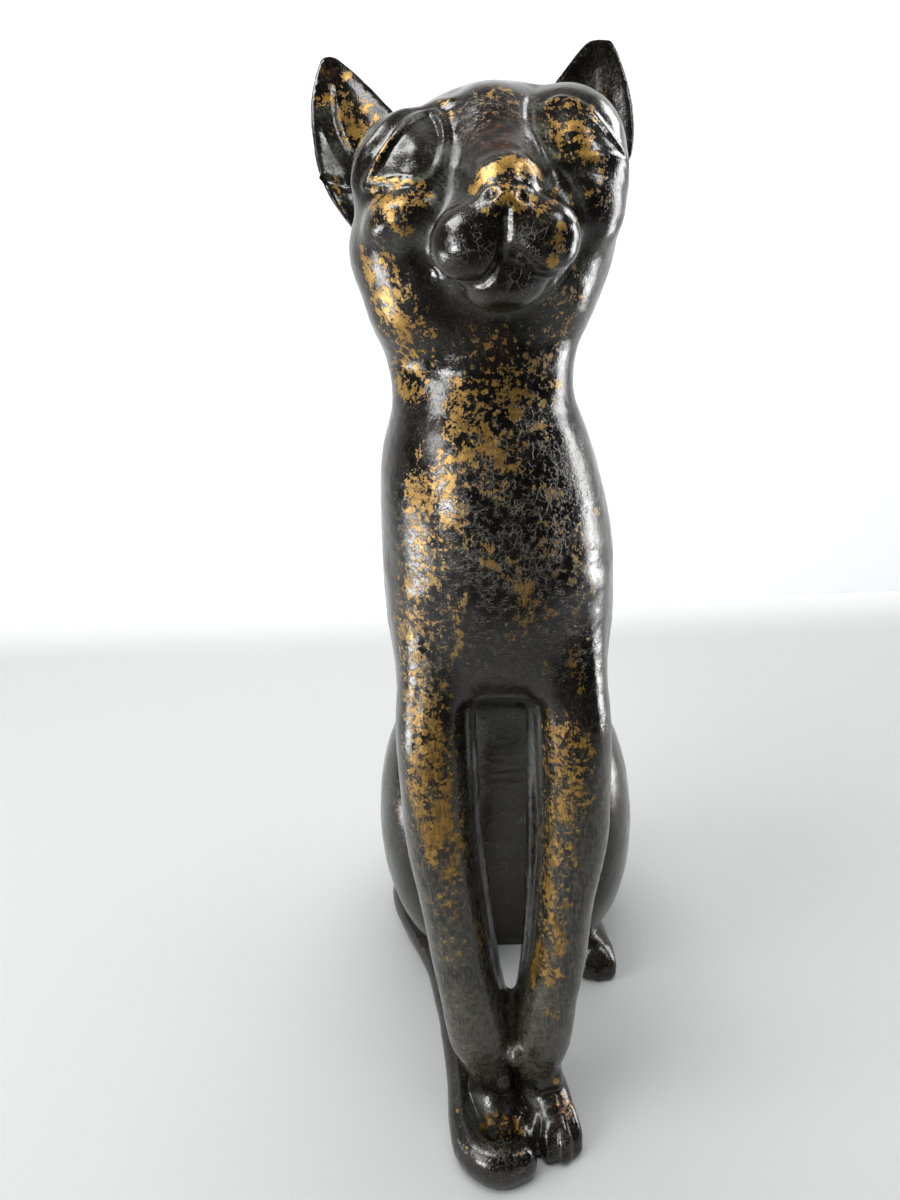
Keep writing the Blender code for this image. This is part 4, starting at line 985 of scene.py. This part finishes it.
# ---------------------------------------------------------------------------
# Materials
# ---------------------------------------------------------------------------
class Nodes:
    """Short names for the nodes of one material."""

    def __init__(self, name):
        self.material = bpy.data.materials.new(name)
        self.material.use_nodes = True
        self.tree = self.material.node_tree
        self.shader = self.tree.nodes["Principled BSDF"]
        self.at = self.new("ShaderNodeTexCoord").outputs["Object"]

    def new(self, kind, **settings):
        node = self.tree.nodes.new(kind)
        for key, value in settings.items():
            setattr(node, key, value)
        return node

    def feed(self, socket, value):
        if isinstance(value, bpy.types.NodeSocket):
            self.tree.links.new(value, socket)
        else:
            socket.default_value = value

    def mask(self, name):
        return self.new("ShaderNodeAttribute", attribute_name=name).outputs["Fac"]

    def math(self, operation, a, b=0.0, c=0.0, clamp=False):
        node = self.new("ShaderNodeMath", operation=operation, use_clamp=clamp)
        for socket, value in zip(node.inputs, (a, b, c)):
            self.feed(socket, value)
        return node.outputs[0]

    def add(self, *values):
        out = values[0]
        for value in values[1:]:
            out = self.math("ADD", out, value)
        return out

    def mul(self, *values):
        out = values[0]
        for value in values[1:]:
            out = self.math("MULTIPLY", out, value)
        return out

    def step(self, value, low, high, to_low=0.0, to_high=1.0):
        """Smooth change from to_low at `low` to to_high at `high`."""
        node = self.new("ShaderNodeMapRange", interpolation_type="SMOOTHSTEP", clamp=True)
        for socket, v in zip(node.inputs, (value, low, high, to_low, to_high)):
            self.feed(socket, v)
        return node.outputs[0]

    def stretch(self, scale, at=None, turn=(0, 0, 0)):
        node = self.new("ShaderNodeMapping")
        self.feed(node.inputs["Vector"], at or self.at)
        node.inputs["Scale"].default_value = scale
        node.inputs["Rotation"].default_value = turn
        return node.outputs[0]

    def noise(self, scale, detail=2.0, rough=0.5, at=None, warp=0.0):
        node = self.new("ShaderNodeTexNoise")
        self.feed(node.inputs["Vector"], at or self.at)
        node.inputs["Scale"].default_value = scale
        node.inputs["Detail"].default_value = detail
        node.inputs["Roughness"].default_value = rough
        node.inputs["Distortion"].default_value = warp
        return node.outputs["Fac"]

    def shifted(self, scale, size, at=None, detail=2.0):
        """The place, shifted by a noise of this scale by up to `size` metres."""
        node = self.new("ShaderNodeTexNoise")
        self.feed(node.inputs["Vector"], at or self.at)
        node.inputs["Scale"].default_value = scale
        node.inputs["Detail"].default_value = detail
        centred = self.new("ShaderNodeVectorMath", operation="SUBTRACT")
        self.feed(centred.inputs[0], node.outputs["Color"])
        centred.inputs[1].default_value = (0.5, 0.5, 0.5)
        scaled = self.new("ShaderNodeVectorMath", operation="SCALE")
        self.feed(scaled.inputs[0], centred.outputs[0])
        scaled.inputs["Scale"].default_value = 2 * size
        total = self.new("ShaderNodeVectorMath", operation="ADD")
        self.feed(total.inputs[0], at or self.at)
        self.feed(total.inputs[1], scaled.outputs[0])
        return total.outputs[0]

    def cells(self, scale, at=None, feature="DISTANCE_TO_EDGE", random=1.0):
        node = self.new("ShaderNodeTexVoronoi", feature=feature)
        self.feed(node.inputs["Vector"], at or self.at)
        node.inputs["Scale"].default_value = scale
        node.inputs["Randomness"].default_value = random
        return node.outputs["Distance" if feature == "DISTANCE_TO_EDGE" else "Color"]

    def mix(self, share, a, b):
        node = self.new("ShaderNodeMix", data_type="RGBA")
        self.feed(node.inputs[0], share)
        for socket, value in ((node.inputs[6], a), (node.inputs[7], b)):
            self.feed(socket, (*value, 1) if isinstance(value, tuple) else value)
        return node.outputs[2]

    def bump(self, height, depth, below=None, strength=1.0):
        node = self.new("ShaderNodeBump")
        self.feed(node.inputs["Height"], height)
        node.inputs["Distance"].default_value = depth
        node.inputs["Strength"].default_value = strength
        if below is not None:
            self.feed(node.inputs["Normal"], below)
        return node.outputs[0]


def lacquer():
    n = Nodes("crackled_lacquer_over_gold")
    gold_mask, speckle_mask, dust_mask = n.mask("gold"), n.mask("speckle"), n.mask("dust")
    red_mask, craze_mask, grain_mask, pale_and_highlight_mask = n.mask("red"), n.mask("craze"), n.mask("grain"), n.mask("pale")
    torn = n.shifted(300, 0.0012, detail=1.0)
    wide, middle, small = n.noise(80, 2.0, 0.55), n.noise(360, 3.0, 0.6), n.noise(1250, 1.0, 0.5)
    streak = n.noise(1.0, 2.0, 0.6, at=n.stretch((1100, 1100, 130)))

    place = n.new("ShaderNodeSeparateXYZ")
    n.feed(place.inputs[0], n.at)
    legs = n.step(place.outputs[2], 0.255, 0.325, 1.0, 0.0)

    # cracks: pale net of cells, and level hairlines
    net = n.mul(n.step(n.cells(250, torn), 0.006, 0.032, 1.0, 0.0), n.step(wide, 0.42, 0.60))
    small_net = n.mul(n.step(n.cells(620, torn), 0.015, 0.085, 1.0, 0.0), n.step(middle, 0.46, 0.56))
    flat = n.stretch((170, 170, 1000), torn)
    hair = n.mul(n.step(n.cells(1.0, flat), 0.012, 0.065, 1.0, 0.0), n.step(middle, 0.44, 0.56))
    net_here = n.math("MAXIMUM", n.mul(net, n.step(craze_mask, 0.2, 0.8)), n.mul(small_net, n.step(craze_mask, 0.2, 0.9, 0.10, 0.75)))
    cracks = n.math("MAXIMUM", net_here, n.mul(hair, n.step(grain_mask, 0.15, 0.8, 0.05, 0.9)))

    # gold: ragged patches where the lacquer has gone, then flakes and specks
    edge = n.add(gold_mask, n.mul(n.add(middle, -0.5), 2.7), n.mul(n.add(wide, -0.5), 0.9), n.mul(n.add(small, -0.5), 1.9), n.mul(n.add(streak, -0.5), n.add(0.9, n.mul(legs, 1.5))))
    bold = n.mul(n.step(place.outputs[2], 0.165, 0.235, 1.0, 0.0), n.step(gold_mask, 0.25, 0.75))
    edge = n.add(edge, n.mul(bold, 0.32))
    patch = n.mul(n.step(edge, n.add(0.60, n.mul(legs, -0.06)), n.add(0.72, n.mul(legs, 0.26))), n.step(gold_mask, 0.12, 0.3))
    flake_tone = n.new("ShaderNodeSeparateColor")
    n.feed(flake_tone.inputs[0], n.cells(900, torn, feature="F1"))
    flakes = n.step(n.add(n.mul(flake_tone.outputs[0], 0.40), n.mul(middle, 1.5), n.mul(speckle_mask, 0.42)), 1.27, 1.36)
    specks = n.mul(n.step(small, 0.64, 0.70), n.step(wide, 0.50, 0.62))
    worn = n.math("MAXIMUM", n.mul(flakes, n.step(speckle_mask, 0.05, 0.4)), n.mul(specks, n.step(speckle_mask, 0.0, 0.6, 0.2, 0.8)))
    gold = n.math("MAXIMUM", patch, worn)
    gold = n.mul(gold, n.math("SUBTRACT", 1.0, n.mul(cracks, 0.8)))

    # colours
    dark = n.mix(n.step(wide, 0.35, 0.65), (0.0055, 0.0048, 0.0040), (0.0110, 0.0098, 0.0082))
    dark = n.mix(n.mul(n.step(streak, 0.50, 0.70), n.step(wide, 0.40, 0.60, 0.15, 0.60)), dark, (0.050, 0.048, 0.038))
    dark = n.mix(n.mul(n.step(red_mask, 0.1, 0.9), n.step(middle, 0.40, 0.60), 0.85), dark, (0.050, 0.0165, 0.008))
    dark = n.mix(n.mul(n.step(small, 0.52, 0.64), n.step(middle, 0.40, 0.58, 0.15, 0.75)), dark, (0.038, 0.031, 0.019))
    dusty = n.mul(n.step(dust_mask, 0.1, 0.9), n.step(n.add(small, n.mul(middle, 0.8)), 0.72, 1.05, 0.35, 1.0))
    dark = n.mix(n.mul(dusty, 0.9), dark, (0.085, 0.092, 0.070))
    fronts = n.mul(n.step(place.outputs[2], 0.165, 0.235, 1.0, 0.0), n.step(place.outputs[1], -0.056, -0.036, 1.0, 0.0))
    shins = n.mul(fronts, n.step(place.outputs[2], 0.040, 0.075))
    rubbed = n.mix(n.step(gold_mask, 0.05, 0.45), (0.082, 0.078, 0.057), (0.185, 0.124, 0.048))
    dark = n.mix(n.mul(shins, n.step(n.add(streak, n.mul(middle, 0.7)), 0.72, 1.00, 0.10, 0.85)), dark, rubbed)
    # lighter grey-green on the fronts just above the paws: partly dust, partly painted highlight on the knuckles
    ankles = n.mul(n.step(place.outputs[2], 0.026, 0.036), n.step(place.outputs[2], 0.040, 0.095, 1.0, 0.0))
    dark = n.mix(n.mul(fronts, ankles, n.step(n.add(small, n.mul(middle, 0.8)), 0.78, 1.06, 0.12, 0.70)), dark, (0.100, 0.092, 0.064))
    # pale greenish lines of the face: pale paint, with painted highlights on the upper rim of the left eye and the edge
    # of the left lip
    dark = n.mix(n.mul(n.step(pale_and_highlight_mask, 0.15, 0.85), n.step(small, 0.36, 0.52, 0.25, 0.9)), dark, (0.155, 0.165, 0.125))
    dark = n.mix(n.mul(cracks, 0.80), dark, n.mix(craze_mask, (0.110, 0.090, 0.056), (0.165, 0.150, 0.115)))
    leaf = n.mix(n.step(middle, 0.40, 0.62), (0.285, 0.148, 0.024), (0.450, 0.256, 0.042))
    leaf = n.mix(n.mul(n.step(small, 0.50, 0.62), 0.45), leaf, (0.130, 0.072, 0.020))
    leaf = n.mix(n.mul(n.step(streak, 0.44, 0.62), legs, 0.75), leaf, (0.105, 0.068, 0.024))
    leaf = n.mix(n.mul(n.step(red_mask, 0.2, 1.0), 0.7), leaf, (0.22, 0.075, 0.02))
    n.feed(n.shader.inputs["Base Color"], n.mix(gold, dark, leaf))
    n.feed(n.shader.inputs["Metallic"], n.mul(gold, 0.35))
    n.feed(n.shader.inputs["Roughness"], n.add(n.step(wide, 0.3, 0.7, 0.12, 0.25), n.mul(gold, 0.14), n.mul(dusty, 0.35), n.mul(cracks, 0.2)))

    # relief in millimetres: thickness of the lacquer, cracks, brushed-on unevenness
    height = n.add(n.mul(gold, -0.07), n.mul(cracks, -0.11), n.mul(streak, -0.03), n.mul(small, 0.045), n.mul(middle, 0.13), n.mul(wide, 0.40))
    n.feed(n.shader.inputs["Normal"], n.bump(height, 0.001))
    n.shader.inputs["IOR"].default_value = 1.46
    return n.material


def floor_material():
    """Pale grey table top, with painted shade darker on the right, painted light whiter towards the far edge, and
    painted shade near black out of view before the statue.
    """
    n = Nodes("pale_paper")
    place = n.new("ShaderNodeSeparateXYZ")
    n.feed(place.inputs[0], n.at)
    # painted light: whiter towards the far edge, blending the floor into the bright backdrop
    far = n.step(n.add(place.outputs[1], n.mul(n.noise(3.0, 2.0), 0.02)), FLOOR_END - 0.075, FLOOR_END + 0.03)
    # painted shade: near black out of view before the statue, so the lacquer mirrors darkness there
    fore = n.step(place.outputs[1], -0.55, -0.16)
    # painted shade: darker on the right, the side away from the window where the statue's shadow falls
    pale = n.mix(n.step(place.outputs[0], -0.02, 0.24), (0.520, 0.530, 0.527), (0.482, 0.490, 0.487))
    pale = n.mix(far, pale, (0.70, 0.70, 0.70))
    n.feed(n.shader.inputs["Base Color"], n.mix(fore, (0.060, 0.060, 0.060), pale))
    n.shader.inputs["Roughness"].default_value = 0.8
    n.feed(n.shader.inputs["Normal"], n.bump(n.noise(500, 2.0), 0.00005))
    return n.material


def wall_material():
    n = Nodes("white_backdrop")
    tone = n.mix(n.noise(1.1, 2.0), (0.90, 0.905, 0.91), (0.88, 0.885, 0.89))
    n.feed(n.shader.inputs["Base Color"], tone)
    # painted light: the backdrop glows in its own colour, more strongly low down than high up
    n.feed(n.shader.inputs["Emission Color"], tone)
    place = n.new("ShaderNodeSeparateXYZ")
    n.feed(place.inputs[0], n.at)
    n.feed(n.shader.inputs["Emission Strength"], n.step(place.outputs[2], -0.40, 0.60, 0.52, 0.30))
    n.shader.inputs["Roughness"].default_value = 0.95
    return n.material


# ---------------------------------------------------------------------------
# Floor, light and camera
# ---------------------------------------------------------------------------
FLOOR_END = 0.475  # where the table stops and the backdrop shows
FLOOR_BEND = 0.030
FLOOR_HALF = 0.58


def surroundings():
    bm = bmesh.new()
    rows = [(-1.6, 0.0)] + [(y, 0.0) for y in np.linspace(-1.2, FLOOR_END, 8)]
    rows += [(FLOOR_END + FLOOR_BEND * math.sin(a), -FLOOR_BEND * (1 - math.cos(a))) for a in np.linspace(0.15, math.pi / 2, 10)]
    rows.append((FLOOR_END + FLOOR_BEND, -0.8))
    lines = [[bm.verts.new((x, y, z)) for y, z in rows] for x in (-FLOOR_HALF, FLOOR_HALF)]
    for i in range(len(rows) - 1):
        bm.faces.new((lines[0][i], lines[1][i], lines[1][i + 1], lines[0][i + 1]))
    mesh = bpy.data.meshes.new("floor")
    bm.to_mesh(mesh)
    bm.free()
    floor = bpy.data.objects.new("floor", mesh)
    mesh.materials.append(floor_material())
    for polygon in mesh.polygons:
        polygon.use_smooth = True
    bm = bmesh.new()
    corners = [bm.verts.new(c) for c in ((-3.5, 1.15, -1.2), (3.5, 1.15, -1.2), (3.5, 1.15, 2.4), (-3.5, 1.15, 2.4))]
    bm.faces.new(corners)
    mesh = bpy.data.meshes.new("backdrop")
    bm.to_mesh(mesh)
    bm.free()
    wall = bpy.data.objects.new("backdrop", mesh)
    mesh.materials.append(wall_material())
    for obj in (floor, wall):
        bpy.context.scene.collection.objects.link(obj)


def soft_light(name, at, to, width, height, watts, shine):
    light = bpy.data.lights.new(name, "AREA")
    light.shape, light.size, light.size_y = "RECTANGLE", width, height
    light.energy = watts
    obj = bpy.data.objects.new(name, light)
    obj.matrix_world = Matrix.Translation(at) @ (Vector(to) - Vector(at)).to_track_quat("-Z", "Y").to_matrix().to_4x4()
    obj.visible_diffuse, obj.visible_glossy = not shine, shine
    bpy.context.scene.collection.objects.link(obj)
    return obj


def lighting():
    world = bpy.data.worlds.new("studio")
    bpy.context.scene.world = world
    world.use_nodes = True
    nodes, links = world.node_tree.nodes, world.node_tree.links
    back = nodes["Background"]
    back.inputs["Color"].default_value = (0.95, 0.97, 1.0, 1)
    # white behind, dim on the side that the statue faces
    direction = nodes.new("ShaderNodeTexCoord")
    parts = nodes.new("ShaderNodeSeparateXYZ")
    links.new(direction.outputs["Generated"], parts.inputs[0])
    grade = nodes.new("ShaderNodeMapRange")
    grade.interpolation_type = "SMOOTHSTEP"
    links.new(parts.outputs[1], grade.inputs[0])
    for socket, value in zip(list(grade.inputs)[1:5], (-0.02, 0.85, 0.04, 0.80)):
        socket.default_value = value
    links.new(grade.outputs[0], back.inputs["Strength"])
    # light that falls on everything
    soft_light("window", (-1.44, -0.70, 0.75), (0.0, -0.10, 0.36), 1.40, 1.90, 31.0, False)
    soft_light("ceiling", (0.0, 0.1, 1.8), (0.0, 0.0, 0.35), 1.6, 1.5, 34.0, False)
    soft_light("opposite", (1.35, 0.42, 0.42), (0.0, 0.0, 0.32), 1.25, 1.70, 7.0, False)
    # bright shapes that only the lacquer mirrors: side, height above level and size as seen from the spot
    for name, spot, side, lift, far, width, height, glow in (
        ("low_left", (-0.031, -0.070, 0.284), -85, -18, 1.15, 0.50, 0.24, 18.0),
        ("mid_left", (-0.020, -0.065, 0.335), -55, 20, 1.20, 0.36, 0.40, 16.0),
        ("high_left", (-0.018, -0.075, 0.405), -77, 55, 1.10, 0.58, 0.56, 17.0),
        ("low_front", (-0.018, -0.113, 0.015), -45, 13, 1.30, 0.34, 0.32, 38.0),
        ("right", (0.035, -0.062, 0.290), 110, 1, 1.15, 0.42, 0.95, 12.0),
        ("right_eye", (0.032, -0.060, 0.413), 77, 46, 1.10, 0.24, 0.26, 18.0),
        ("right_jaw", (0.038, -0.061, 0.390), 112, -27, 1.15, 0.28, 0.24, 8.0),
        ("far_right", (0.015, -0.080, 0.405), 130, 26, 1.10, 0.30, 0.36, 12.0),
    ):
        side, lift = math.radians(side), math.radians(lift)
        toward = Vector((math.sin(side) * math.cos(lift), -math.cos(side) * math.cos(lift), math.sin(lift)))
        soft_light(name, Vector(spot) + far * toward, spot, width, height, glow * math.pi * width * height, True)


CAMERA_AT = (-16.0, -611.0, 921.0)  # in the units of the shape
FOCAL = 930.0 / 1200.0 * 36.0


def camera():
    yaw, pitch, roll = (math.radians(a) for a in (2.3, 25.0, 3.2))
    ahead = np.array((-math.sin(yaw) * math.cos(pitch), math.cos(yaw) * math.cos(pitch), -math.sin(pitch)))
    level = np.array((math.cos(yaw), math.sin(yaw), 0.0))
    above = np.cross(level, ahead)
    right = level * math.cos(roll) - above * math.sin(roll)
    up = level * math.sin(roll) + above * math.cos(roll)
    data = bpy.data.cameras.new("photo_view")
    data.sensor_fit, data.sensor_height, data.lens, data.clip_start = "VERTICAL", 36.0, FOCAL, 0.02
    obj = bpy.data.objects.new("photo_view", data)
    at = (np.array(CAMERA_AT) - (MIDDLE[0], MIDDLE[1], 0.0)) * UNIT
    obj.matrix_world = Matrix.Translation(at) @ Matrix((right, up, -ahead)).transposed().to_4x4()
    bpy.context.scene.collection.objects.link(obj)
    bpy.context.scene.camera = obj


def main():
    statue = fine_statue()
    statue.data.materials.clear()
    statue.data.materials.append(lacquer())
    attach(statue, "root")
    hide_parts("cat_statue")
    surroundings()
    lighting()
    camera()
    cycles = bpy.context.scene.cycles
    cycles.max_bounces, cycles.diffuse_bounces, cycles.glossy_bounces = 5, 3, 3
    view = bpy.context.scene.view_settings
    view.view_transform, view.look, view.exposure, view.gamma = "Standard", "None", 0.0, 1.0


main()
